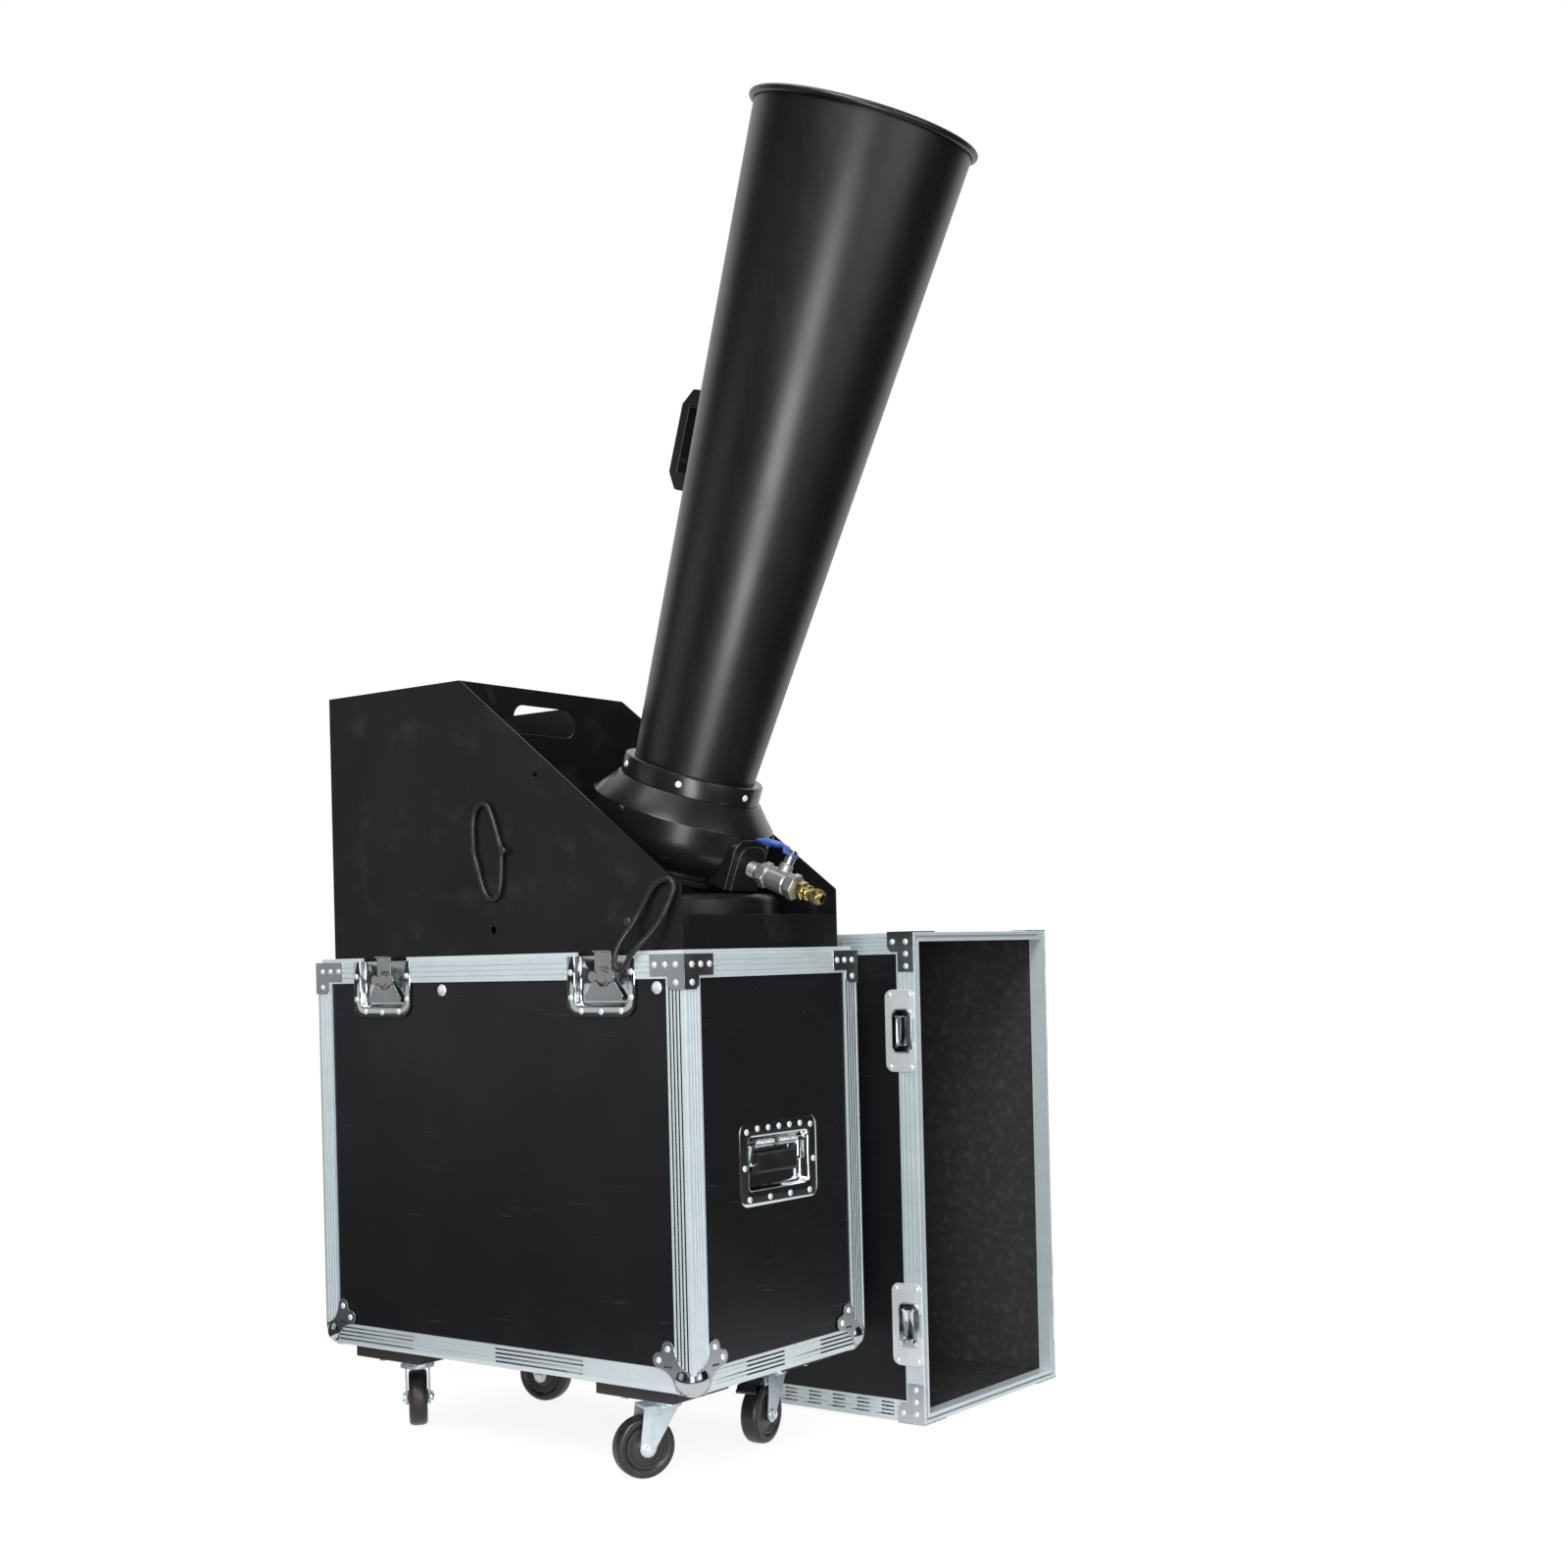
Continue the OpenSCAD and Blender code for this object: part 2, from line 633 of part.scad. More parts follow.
module handle_grip(s) {
    color([0.1, 0.1, 0.1]) at_case() at_handle(s) translate([0, -pivot_in, pivot_up - grip_down])
        difference() {
            rotate([90, 0, 90]) translate([0, 0, -grip_l / 2]) linear_extrude(grip_l) {
                for (z = [-1, 1]) translate([0, z * (grip_h - grip_t) / 2]) circle(grip_t / 2);
                square([grip_t, grip_h - grip_t], center = true);
            }
            translate([-grip_l, 0, 0]) rotate([0, 90, 0]) cylinder(h = 2 * grip_l, r = bow_r);
        }
}

// Castors: local X trails behind the swivel
module at_castor(i) {
    placed() translate([castor_side[i - 1][0] * castor_x, castor_side[i - 1][1] * castor_y, 0])
        rotate([0, 0, castor_turn[i - 1]]) children();
}
module castor_boards() {
    color([0.09, 0.08, 0.08]) placed() for (s = castor_side)
        translate([s[0] * castor_x, s[1] * castor_y, 0]) block(board_l, board_w, board_t, castor_h);
}
module castor_plates() {
    color("silver") placed() for (s = castor_side) translate([s[0] * castor_x, s[1] * castor_y, 0]) {
        block(plate_l, plate_w, plate_t, castor_h - plate_t);
        translate([0, 0, fork_top + 5.5]) cylinder(h = castor_h - plate_t - fork_top - 5.5, r = 20);
        translate([0, 0, fork_top - 7]) cylinder(h = castor_h - fork_top, r = kingpin_r);
        translate([0, 0, fork_top - 7.5]) cylinder(h = 3.2, r = kingpin_r + 4);
    }
}
module castor_fork(i) {
    inner = wheel_w / 2 + fork_gap;
    color("lightsteelblue") at_castor(i) {
        difference() {
            union() {
                translate([0, 0, fork_top - 4]) cylinder(h = 4, r = 24);
                translate([0, 0, fork_top]) cylinder(h = 5, r = 22);
                translate([-yoke_back, -inner - fork_t, fork_top - 4])
                    cube([yoke_back + yoke_front, 2 * (inner + fork_t), 4]);
                for (y = [-1, 1]) translate([0, y > 0 ? inner + fork_t : -inner, 0]) rotate([90, 0, 0])
                    linear_extrude(fork_t) difference() {
                        union() {
                            polygon([[-yoke_back, fork_top - 2], [yoke_front, fork_top - 2],
                                [castor_trail + 11, axle_z], [castor_trail - 11, axle_z]]);
                            translate([castor_trail, axle_z]) circle(11);
                        }
                    }
            }
            translate([0, 0, fork_top - 9]) cylinder(h = 20, r = kingpin_r + run_gap);
            translate([castor_trail, -through / 2, axle_z]) rotate([-90, 0, 0]) cylinder(h = through, r = axle_r);
        }
        translate([castor_trail, -inner - fork_t, axle_z]) rotate([-90, 0, 0])
            cylinder(h = 2 * (inner + fork_t), r = axle_r);
        for (y = [-1, 1]) translate([castor_trail, y * (inner + fork_t), axle_z]) rotate([-90 * y, 0, 0])
            cylinder(h = 4, r = 7, $fn = 6);
        if (i > 2) pedal_ears(inner);
    }
}
pedal_x = 40;
pedal_z = fork_top - 6;
pedal_r = 3;
module pedal_ears(inner) {
    for (y = [-1, 1]) difference() {
        translate([30, y > 0 ? inner : -inner - fork_t, pedal_z - 6]) cube([16, fork_t, 10]);
        translate([pedal_x, -through / 2, pedal_z]) rotate([-90, 0, 0])
            cylinder(h = through, r = pedal_r + run_gap);
    }
}
module brake_pedal(i) {
    inner = wheel_w / 2 + fork_gap;
    color([0.12, 0.12, 0.12]) at_castor(i) {
        translate([pedal_x, -inner - fork_t, pedal_z]) rotate([-90, 0, 0])
            cylinder(h = 2 * (inner + fork_t), r = pedal_r);
        translate([0, inner - move_gap, 0]) rotate([90, 0, 0]) linear_extrude(2 * (inner - move_gap))
            polygon([[pedal_x - 3, pedal_z + 3], [pedal_x + 10, pedal_z + 2], [pedal_x + 33, pedal_z - 9],
                [pedal_x + 32, pedal_z - 13], [pedal_x + 9, pedal_z - 3], [pedal_x, pedal_z - 3]]);
    }
}
module castor_hub(i) {
    color("dimgray") at_castor(i) translate([castor_trail, 0, axle_z]) rotate([90, 0, 0]) difference() {
        union() {
            cylinder(h = wheel_w - 6, r = hub_r, center = true);
            cylinder(h = wheel_w + 2 * fork_gap - 0.6, r = 10, center = true);
        }
        cylinder(h = through, r = axle_r + run_gap, center = true);
        for (z = [-1, 1]) translate([0, 0, z * (wheel_w / 2 - 2)]) difference() {
            cylinder(h = 8, r = hub_r - 4, center = true);
            cylinder(h = 9, r = 12, center = true);
        }
    }
}
module castor_tyre(i) {
    color([0.08, 0.08, 0.08]) at_castor(i) translate([castor_trail, 0, axle_z]) rotate([90, 0, 0])
        rotate_extrude() {
            polygon([[hub_r, -wheel_w / 2 + 3], [wheel_d / 2 - 6, -wheel_w / 2], [wheel_d / 2 - 2, 2 - wheel_w / 2],
                [wheel_d / 2, 7 - wheel_w / 2], [wheel_d / 2, wheel_w / 2 - 7], [wheel_d / 2 - 2, wheel_w / 2 - 2],
                [wheel_d / 2 - 6, wheel_w / 2], [hub_r, wheel_w / 2 - 3]]);
        }
}

// Hopper
module cheek(side) {
    color([0.08, 0.08, 0.085]) placed() translate([0, side > 0 ? hop_w / 2 : -hop_w / 2 + sheet_t, 0])
        rotate([90, 0, 0]) linear_extrude(sheet_t) difference() {
            polygon([[-hop_l / 2, hop_z], [hop_l / 2, hop_z], [hop_l / 2, rim_z + cheek_rise],
                [bin_x, hop_top], [-hop_l / 2, hop_top]]);
            if (side < 0) for (c = cheek_holes) translate([c[0], rim_z + c[1]]) circle(c[2]);
        }
}
hop_in = hop_w - 2 * sheet_t;
module hopper_right_cheek() { cheek(-1); }
module hopper_left_cheek() { cheek(1); }
// Back sheet of the bin and low front sheet below the deck
module hopper_ends() {
    color([0.08, 0.08, 0.085]) placed() {
        translate([-hop_l / 2, -hop_in / 2, hop_z]) cube([sheet_t, hop_in, hop_top - hop_z]);
        translate([hop_l / 2 - sheet_t, -hop_in / 2, hop_z]) cube([sheet_t, hop_in, deck_z - sheet_t - hop_z]);
    }
}
module hopper_deck() {
    color([0.09, 0.09, 0.095]) difference() {
        placed() translate([bin_x - sheet_t, -hop_in / 2, deck_z - sheet_t])
            cube([hop_l / 2 - bin_x + sheet_t, hop_in, sheet_t]);
        at_amp() translate([0, 0, -pipe_l]) cylinder(h = pipe_l, r = pipe_r + fit_gap);
    }
}
module bin_front() {
    color([0.08, 0.08, 0.085]) placed() translate([bin_x - sheet_t, 0, 0]) rotate([90, 0, 90])
        linear_extrude(sheet_t) difference() {
            translate([-hop_in / 2, deck_z]) square([hop_in, hop_top - deck_z]);
            translate([0, hop_top - hand_hole_drop]) {
                square([hand_hole_w - hand_hole_h, hand_hole_h], center = true);
                for (x = [-1, 1]) translate([x * (hand_hole_w - hand_hole_h) / 2, 0]) circle(hand_hole_h / 2);
            }
        }
}
module chute_floor() {
    x = hop_l / 2 - sheet_t;
    color([0.1, 0.1, 0.1]) placed() translate([0, hop_in / 2, hop_z]) rotate([90, 0, 0])
        linear_extrude(hop_in) polygon([[-x, chute_back_h], [x, chute_front_h],
            [x, chute_front_h - sheet_t * 1.12], [-x, chute_back_h - sheet_t * 1.12]]);
}
// A closed loop of rope: rings of eight points round each point of the route
module rope_loop(route) {
    n = len(route);
    ring = [for (i = [0:n - 1]) let (
        t = route[(i + 1) % n] - route[(i + n - 1) % n],
        u = t / norm(t),
        v = cross([0, 1, 0], u) / norm(cross([0, 1, 0], u)),
        w = cross(u, v))
        [for (k = [0:7]) route[i] + rope_r * (cos(45 * k) * v + sin(45 * k) * w)]];
    polyhedron(points = [for (r = ring, p = r) p],
        faces = [for (i = [0:n - 1], k = [0:7]) let (j = (i + 1) % n, m = (k + 1) % 8)
            [8 * i + k, 8 * j + k, 8 * j + m, 8 * i + m]]);
}
module stud(reach) {
    rotate([90, 0, 0]) {
        cylinder(h = reach, r = stud_r);
        translate([0, 0, reach]) cylinder(h = 2, r1 = stud_head_r, r2 = stud_head_r * 0.7);
    }
}
module lifting_loops() {
    cheek_y = -hop_w / 2;
    color([0.05, 0.05, 0.055]) placed() {
        translate([0, cheek_y - rope_r - 0.1, rim_z]) rope_loop([for (p = loop_back) [p[0], 0, p[1]]]);
        translate([0, -case_w / 2, rim_z]) rope_loop([for (p = loop_front) [p[0], p[2], p[1]]]);
        for (s = studs) translate([s[0], cheek_y, rim_z + s[1]]) stud(s[2]);
    }
}

// Neck on the deck: the spun cover, the pick-up pipe that goes through it and the tilted flange
module cover_shape(r, h, round) {
    cylinder(h = h - round, r = r);
    cylinder(h = h, r = r - round);
    translate([0, 0, h - round]) rotate_extrude() translate([r - round, 0]) circle(round, $fn = 48);
}
module inlet_neck() {
    round = 12;
    color([0.1, 0.1, 0.11]) difference() {
        union() {
            placed() translate([amp_x - 8, 0, deck_z]) difference() {
                cover_shape(cover_r, cover_h, round);
                translate([0, 0, -eps]) cylinder(h = cover_h - sheet_t, r = cover_r - round);
            }
            at_amp() {
                translate([0, 0, -flange_t]) cylinder(h = flange_t, r = inlet_r + 2);
                translate([0, 0, -pipe_l]) cylinder(h = pipe_l - 1, r = pipe_r);
            }
        }
        at_amp() translate([0, 0, -pipe_l - 1]) cylinder(h = pipe_l + 2, r = pipe_r - pipe_t);
    }
}

// Air amplifier
bowl_top = 50;
module amplifier_body() {
    rise = bowl_top - flange_t;
    grow = amp_r - inlet_r + 4;
    color([0.07, 0.07, 0.075]) at_amp() difference() {
        union() {
            rotate_extrude($fn = 96) polygon(concat(
                [[outlet_r, 0], [inlet_r, 0], [inlet_r, flange_t]],
                [for (a = [0:15:90]) [inlet_r - 4 + grow * sin(a), bowl_top - rise * cos(a)]],
                [[amp_r, amp_h - 30], [collar_r + 3, amp_h], [outlet_r, amp_h]]));
            air_boss(boss_out - boss_step, boss_w / 2, amp_h - 34);
            air_boss(boss_out, boss_w / 2 - boss_step - 2, amp_h - 41);
        }
        translate([0, 0, -1]) cylinder(h = amp_h + 2, r = outlet_r, $fn = 96);
        translate([0, 0, -1]) cylinder(h = amp_h - 37, r = plenum_r, $fn = 96);
        translate([0, 0, valve_z]) rotate([0, 90, 0]) cylinder(h = boss_out + 9, r = 9.5);
    }
}
// Arched boss that the air valve screws into
module air_boss(out, half, top) {
    foot = 1;
    round = 20;
    translate([amp_r - 40, 0, 0]) rotate([90, 0, 90]) linear_extrude(out - amp_r + 40) {
        translate([-half, foot]) square([2 * half, top - round - foot]);
        translate([-half + round, foot]) square([2 * (half - round), top - foot]);
        for (x = [-1, 1]) translate([x * (half - round), top - round]) circle(round);
    }
}
// Insert that forms the throat and, with the body, the ring nozzle
module amplifier_insert() {
    top = amp_h - 36;
    color("dimgray") at_amp() rotate_extrude($fn = 96) polygon([[throat_r, 0], [plenum_r, 0], [plenum_r, 12],
        [throat_r + 10, 14], [throat_r + 10, top - 10], [throat_r + 6, top - 1], [throat_r, top]]);
}
module tube_collar() {
    color([0.06, 0.06, 0.065]) at_amp() translate([0, 0, amp_h]) rotate_extrude($fn = 96)
        polygon([[tube_r0 - 4, 0], [collar_r, 0], [collar_r, collar_h - 1.5], [collar_r - 2, collar_h],
            [tube_outer(tube_seat) + fit_gap, collar_h], [tube_r0 + fit_gap, collar_h - tube_seat],
            [tube_r0 - 4, collar_h - tube_seat]]);
}
function tube_outer(z) = tube_r0 + z * tube_slope;
module blast_tube() {
    color([0.05, 0.05, 0.055]) at_amp() translate([0, 0, tube_z]) rotate_extrude($fn = 128) {
        polygon([[tube_r0 - tube_t, 0], [tube_r0, 0], [tube_r1, tube_l], [tube_r1 - tube_t, tube_l]]);
        translate([tube_r1 + bead_r / 2, tube_l]) circle(bead_r, $fn = 32);
    }
}
// Handle on the tube's back: a straight bar on two sloping legs
module tube_handle() {
    lean = atan(tube_slope);
    seat = tube_outer(pull_at);
    color([0.07, 0.07, 0.075]) at_amp() translate([0, 0, tube_z + pull_at]) difference() {
        translate([-seat, 0, 0]) rotate([0, -lean, 0]) translate([0, pull_w / 2, 0]) rotate([90, 0, 0])
            linear_extrude(pull_w) difference() {
                polygon([[4, -pull_l / 2], [4, pull_l / 2], [-pull_h + 14, pull_l / 2], [-pull_h, pull_l / 2 - 20],
                    [-pull_h, 20 - pull_l / 2], [-pull_h + 14, -pull_l / 2]]);
                translate([pull_bar - pull_h, pull_foot - pull_l / 2])
                    square([pull_h - pull_bar - 3, pull_l - 2 * pull_foot]);
            }
        translate([0, 0, -pull_l]) cylinder(h = 2 * pull_l, r1 = seat - pull_l * tube_slope,
            r2 = seat + pull_l * tube_slope, $fn = 128);
    }
}

// Ball valve: local X is the air's way in, local Z the stem
module along_x(x0, x1, r, sides = 64) {
    translate([x0, 0, 0]) rotate([0, 90, 0]) cylinder(h = x1 - x0, r = r, $fn = sides);
}
module valve_body() {
    color("silver") at_valve() difference() {
        union() {
            along_x(boss_out - 14, boss_out, 9.5);
            along_x(boss_out, barrel_x0, 11);
            along_x(barrel_x0, barrel_x1, valve_r);
            along_x(barrel_x0, barrel_x0 + 12, valve_r + 2, 6);
            along_x(barrel_x1 - 12, barrel_x1, valve_r + 2, 6);
            translate([ball_at, 0, 0]) cylinder(h = valve_r + 8, r = 9);
        }
        along_x(boss_out - 20, barrel_x1 + 9, valve_bore_r);
        translate([ball_at, 0, 0]) sphere(valve_ball_r + move_gap);
        translate([ball_at, 0, 0]) cylinder(h = valve_r + 9, r = stem_r + run_gap);
    }
}
module hose_coupling() {
    x0 = barrel_x1;
    color("goldenrod") at_valve() difference() {
        union() {
            along_x(x0, x0 + 12, 12, 6);
            along_x(x0 + 12, x0 + coupling_l, 7.5);
            along_x(x0 + 16, x0 + 20, 10);
            along_x(x0 + coupling_l - 14, x0 + coupling_l - 4, 10);
        }
        along_x(x0 - 1, x0 + coupling_l + 1, coupling_bore_r);
    }
}
// The lever sits on the stem's shoulder, rises, and slopes down again towards its tip
lever_up = valve_r + 19;
lever_rise = 8;
lever_t = 3;
module valve_stem() {
    color("gray") at_valve() translate([ball_at, 0, 0]) rotate([0, 0, lever_turn]) difference() {
        union() {
            sphere(valve_ball_r);
            cylinder(h = lever_up + lever_t + 6, r = stem_r);
            translate([0, 0, valve_r + 8.3]) cylinder(h = lever_up - valve_r - 8.3, r = 7);
            translate([0, 0, lever_up + lever_t]) cylinder(h = 5, r = 7, $fn = 6);
        }
        along_x(-through / 2, through / 2, valve_bore_r);
    }
}
module lever_side(t, x0) {
    polygon([[-lever_l, lever_rise - 7], [-lever_l, lever_rise - 7 + t], [-16, lever_rise + t],
        [x0, lever_rise + t], [x0 + 2 , t], [lever_w / 2, t], [lever_w / 2, 0], [x0, 0], [x0 - 4, lever_rise]]);
}
module valve_lever() {
    color("royalblue") at_valve() translate([ball_at, 0, lever_up]) rotate([0, 0, lever_turn]) difference() {
        intersection() {
            translate([0, lever_w / 2, 0]) rotate([90, 0, 0]) linear_extrude(lever_w) lever_side(lever_t, -9);
            translate([0, 0, -5]) linear_extrude(30) {
                circle(lever_w / 2);
                translate([lever_w / 2 - lever_l, 0]) circle(lever_w / 2);
                translate([lever_w / 2 - lever_l, -lever_w / 2]) square([lever_l - lever_w / 2, lever_w]);
            }
        }
        translate([0, 0, -1]) cylinder(h = 5, r = stem_r);
    }
}

// Lid: the same shell turned over, on its short end
module lid_shell() { at_lid() translate([0, 0, lid_d]) mirror([0, 0, 1]) children(); }
module lid_panels() {
    color([0.07, 0.07, 0.08]) lid_shell() {
        shell_panel();
        shell_walls(lid_d, tongue_h + groove_gap + angle_t) {}
    }
}
module lid_angles() {
    color("silver") lid_shell() {
        shell_angles(lid_d);
        difference() {
            shell_rim(lid_d);
            frame_ring(case_l - 2 * tongue_in + 2 * groove_gap, case_w - 2 * tongue_in + 2 * groove_gap,
                tongue_t + 2 * groove_gap, tongue_h + groove_gap + eps, lid_d - tongue_h - groove_gap);
        }
    }
}
keeper_h = 50;
keeper_in = 12;
module lid_keepers() {
    color("silver") at_lid() for (s = latch_side)
        translate([s[0] * latch_x, s[1] * case_w / 2, keeper_h / 2]) mirror([0, s[1] < 0 ? 1 : 0, 0]) {
            difference() {
                plate_xz(latch_w, keeper_h, 12, latch_t);
                translate([0, -1, -keeper_h / 2 - 1]) block_y(hook_w + 4, 9, 14);
            }
            translate([0, -angle_t, angle_w - keeper_h / 2])
                block_y(latch_w - 2 * keeper_in, angle_t, keeper_h - angle_w - 4);
            for (x = [-1, 1], z = [-1, 1])
                translate([x * (latch_w / 2 - 7), latch_t, z * (keeper_h / 2 - 8)]) rotate([-90, 0, 0]) rivet();
        }
}
module lid_balls() { color("silver") lid_shell() four_corners() ball_corner(); }
module lid_plates() {
    color("gray") lid_shell() four_corners() {
        corner_plate();
        rim_brace(lid_d);
        corner_rivets(ball_spots);
        corner_rivets(brace_spots(lid_d));
    }
}

floor_panel();
wall_panels();
edge_angles();
rim_frame();
ball_corners();
corner_plates();
fasteners();
foam_lining();
castor_boards();
castor_plates();
for (i = [1:4]) {
    castor_fork(i);
    castor_hub(i);
    castor_tyre(i);
    latch_hook(i);
    latch_wing(i);
}
for (i = [3:4]) brake_pedal(i);
latch_dishes();
handle_dishes();
handle_bow(1);  // handle_bow_front
handle_bow(-1);  // handle_bow_back
handle_grip(1);  // handle_grip_front
handle_grip(-1);  // handle_grip_back
hopper_right_cheek();
hopper_left_cheek();
hopper_ends();
hopper_deck();
bin_front();
chute_floor();
lifting_loops();
inlet_neck();
amplifier_body();
amplifier_insert();
tube_collar();
blast_tube();
tube_handle();
valve_body();
hose_coupling();
valve_stem();
valve_lever();
lid_panels();
lid_angles();
lid_keepers();
lid_balls();
lid_plates();
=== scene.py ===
# Looks of the confetti blower. Shapes are given in millimetres and placed by the frames below.
import json
import math

import bmesh
import bpy
from mathutils import Matrix, Vector

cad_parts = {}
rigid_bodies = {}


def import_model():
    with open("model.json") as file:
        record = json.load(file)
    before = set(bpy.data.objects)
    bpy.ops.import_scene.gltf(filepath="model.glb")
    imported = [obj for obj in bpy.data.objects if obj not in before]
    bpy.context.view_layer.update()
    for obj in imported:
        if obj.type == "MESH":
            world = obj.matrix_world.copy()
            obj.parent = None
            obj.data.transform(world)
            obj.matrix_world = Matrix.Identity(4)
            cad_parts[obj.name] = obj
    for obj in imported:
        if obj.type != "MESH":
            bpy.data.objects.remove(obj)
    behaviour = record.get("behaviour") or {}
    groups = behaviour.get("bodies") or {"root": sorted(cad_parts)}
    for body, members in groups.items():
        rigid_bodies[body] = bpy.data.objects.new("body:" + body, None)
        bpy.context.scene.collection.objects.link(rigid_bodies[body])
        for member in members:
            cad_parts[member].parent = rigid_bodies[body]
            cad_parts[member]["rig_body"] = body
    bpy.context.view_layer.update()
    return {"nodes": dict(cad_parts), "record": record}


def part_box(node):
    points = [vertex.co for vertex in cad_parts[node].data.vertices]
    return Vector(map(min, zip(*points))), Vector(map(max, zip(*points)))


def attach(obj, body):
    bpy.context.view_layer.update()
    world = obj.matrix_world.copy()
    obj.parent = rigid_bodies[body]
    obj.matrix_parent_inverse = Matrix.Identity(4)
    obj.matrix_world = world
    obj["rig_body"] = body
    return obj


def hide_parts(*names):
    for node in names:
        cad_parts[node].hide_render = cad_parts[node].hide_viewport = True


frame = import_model()
nodes = frame["nodes"]
slot_of = {s["node"]: s["material_slot"] for s in frame["record"]["subparts"]}
MM = 0.001


# Frames
def move(x, y, z):
    return Matrix.Translation((x * MM, y * MM, z * MM))


def turn(angle, axis):
    return Matrix.Rotation(math.radians(angle), 4, axis)


def axes(x, y, z):
    return Matrix((x, y, z)).transposed().to_4x4()


CASE_L, CASE_W, CASE_H = 684, 364, 540
RIM_Z, LID_D = 665, 310
LATCH_X, LATCH_Z, KEEPER_Z = 205, -38.5, 25
# Half the gap in the rim at a latch
NOTCH = 45.2
# Outer face of the hopper's right cheek
CHEEK_Y = 164
low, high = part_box("edge_angles")
FLOOR = Matrix.Translation(((low.x + high.x) / 2, (low.y + high.y) / 2, 0))
CASE = Matrix.Translation(((low.x + high.x) / 2, (low.y + high.y) / 2, low.z))
RIM = FLOOR @ move(0, 0, RIM_Z)
LID = FLOOR @ move(379, 450, 346) @ turn(-90, "Y")
LID_SHELL = LID @ move(0, 0, LID_D) @ turn(180, "X")
AMP = FLOOR @ move(169, 0, 790) @ turn(21, "Y")
TUBE = AMP @ move(0, 0, 106)
VALVE = AMP @ move(0, 0, 34) @ turn(-15, "X")
ALONG_X = turn(90, "Y")
SIDES = [(-1, -1), (1, -1), (-1, 1), (1, 1)]


def latch_frame(sx, sy):
    return RIM @ move(LATCH_X * sx, CASE_W / 2 * sy, LATCH_Z) @ turn(0 if sy > 0 else 180, "Z")


def handle_frame(s):
    return CASE @ move(340 * s, 0, 271) @ turn(-90 * s, "Z")


CASTORS = [(230, -112, -117), (-230, -112, 138), (230, 112, -80), (-230, 112, 13)]


def castor_frame(i):
    x, y, angle = CASTORS[i]
    return FLOOR @ move(x, y, 0) @ turn(angle, "Z")


# Materials
class Finish:
    """A procedural material in object space."""

    def __init__(self, name, metallic=0.0, **sockets):
        self.mat = bpy.data.materials.new(name)
        self.mat.use_nodes = True
        self.tree = self.mat.node_tree
        self.bsdf = self.tree.nodes["Principled BSDF"]
        self.bsdf.inputs["Metallic"].default_value = metallic
        for key, value in sockets.items():
            self.bsdf.inputs[key.replace("_", " ")].default_value = value
        self.place = self.node("ShaderNodeTexCoord").outputs["Object"]
        self.normal = None

    def node(self, kind, inputs=None, **settings):
        made = self.tree.nodes.new(kind)
        for key, value in settings.items():
            setattr(made, key, value)
        for key, value in (inputs or {}).items():
            if isinstance(value, bpy.types.NodeSocket):
                self.tree.links.new(value, made.inputs[key])
            else:
                made.inputs[key].default_value = value
        return made

    def stretched(self, stretch):
        if stretch == (1, 1, 1):
            return self.place
        return self.node("ShaderNodeMapping", {"Vector": self.place, "Scale": stretch}).outputs[0]

    def noise(self, scale, detail=3.0, stretch=(1, 1, 1), distortion=0.0):
        return self.node("ShaderNodeTexNoise", {"Vector": self.stretched(stretch), "Scale": scale,
            "Detail": detail, "Distortion": distortion}).outputs[0]

    def cells(self, scale, feature="F1", stretch=(1, 1, 1)):
        return self.node("ShaderNodeTexVoronoi", {"Vector": self.stretched(stretch), "Scale": scale},
            feature=feature).outputs["Distance"]

    def ramp(self, value, low, high, a=0.0, b=1.0):
        return self.node("ShaderNodeMapRange", {0: value, 1: low, 2: high, 3: a, 4: b}).outputs[0]

    def blend(self, value, a, b):
        made = self.node("ShaderNodeMix", data_type="RGBA")
        self.tree.links.new(value, made.inputs["Factor"])
        for key, colour in (("A", a), ("B", b)):
            socket = [s for s in made.inputs if s.name == key and s.type == "RGBA"][0]
            if isinstance(colour, bpy.types.NodeSocket):
                self.tree.links.new(colour, socket)
            else:
                socket.default_value = (*colour, 1)
        return [s for s in made.outputs if s.type == "RGBA"][0]

    def math(self, operation, a, b):
        return self.node("ShaderNodeMath", {0: a, 1: b}, operation=operation).outputs[0]

    def colour(self, socket):
        self.tree.links.new(socket, self.bsdf.inputs["Base Color"])

    def rough(self, socket):
        self.tree.links.new(socket, self.bsdf.inputs["Roughness"])

    def bump(self, height, distance, strength=1.0):
        inputs = {"Height": height, "Distance": distance, "Strength": strength}
        if self.normal:
            inputs["Normal"] = self.normal
        self.normal = self.node("ShaderNodeBump", inputs).outputs[0]
        self.tree.links.new(self.normal, self.bsdf.inputs["Normal"])


def laminate():
    f = Finish("laminate", Specular_IOR_Level=0.22)
    scuff = f.ramp(f.noise(9, 8, (1, 1, 14), 0.6), 0.66, 0.72)
    scratch = f.ramp(f.noise(30, 6, (22, 22, 1.3)), 0.7, 0.74)
    marks = f.math("MAXIMUM", scuff, scratch)
    cloudy = f.blend(f.noise(5, 4), (0.0055, 0.0062, 0.0068), (0.0105, 0.0115, 0.0125))
    f.colour(f.blend(f.math("MULTIPLY", marks, 0.4), cloudy, (0.035, 0.037, 0.04)))
    f.rough(f.math("ADD", f.ramp(f.noise(12, 5), 0.3, 0.7, 0.23, 0.33), f.math("MULTIPLY", marks, 0.15)))
    f.bump(f.cells(620), 0.00006, 0.5)
    f.bump(f.noise(3.2, 2), 0.0008, 0.5)
    return f.mat


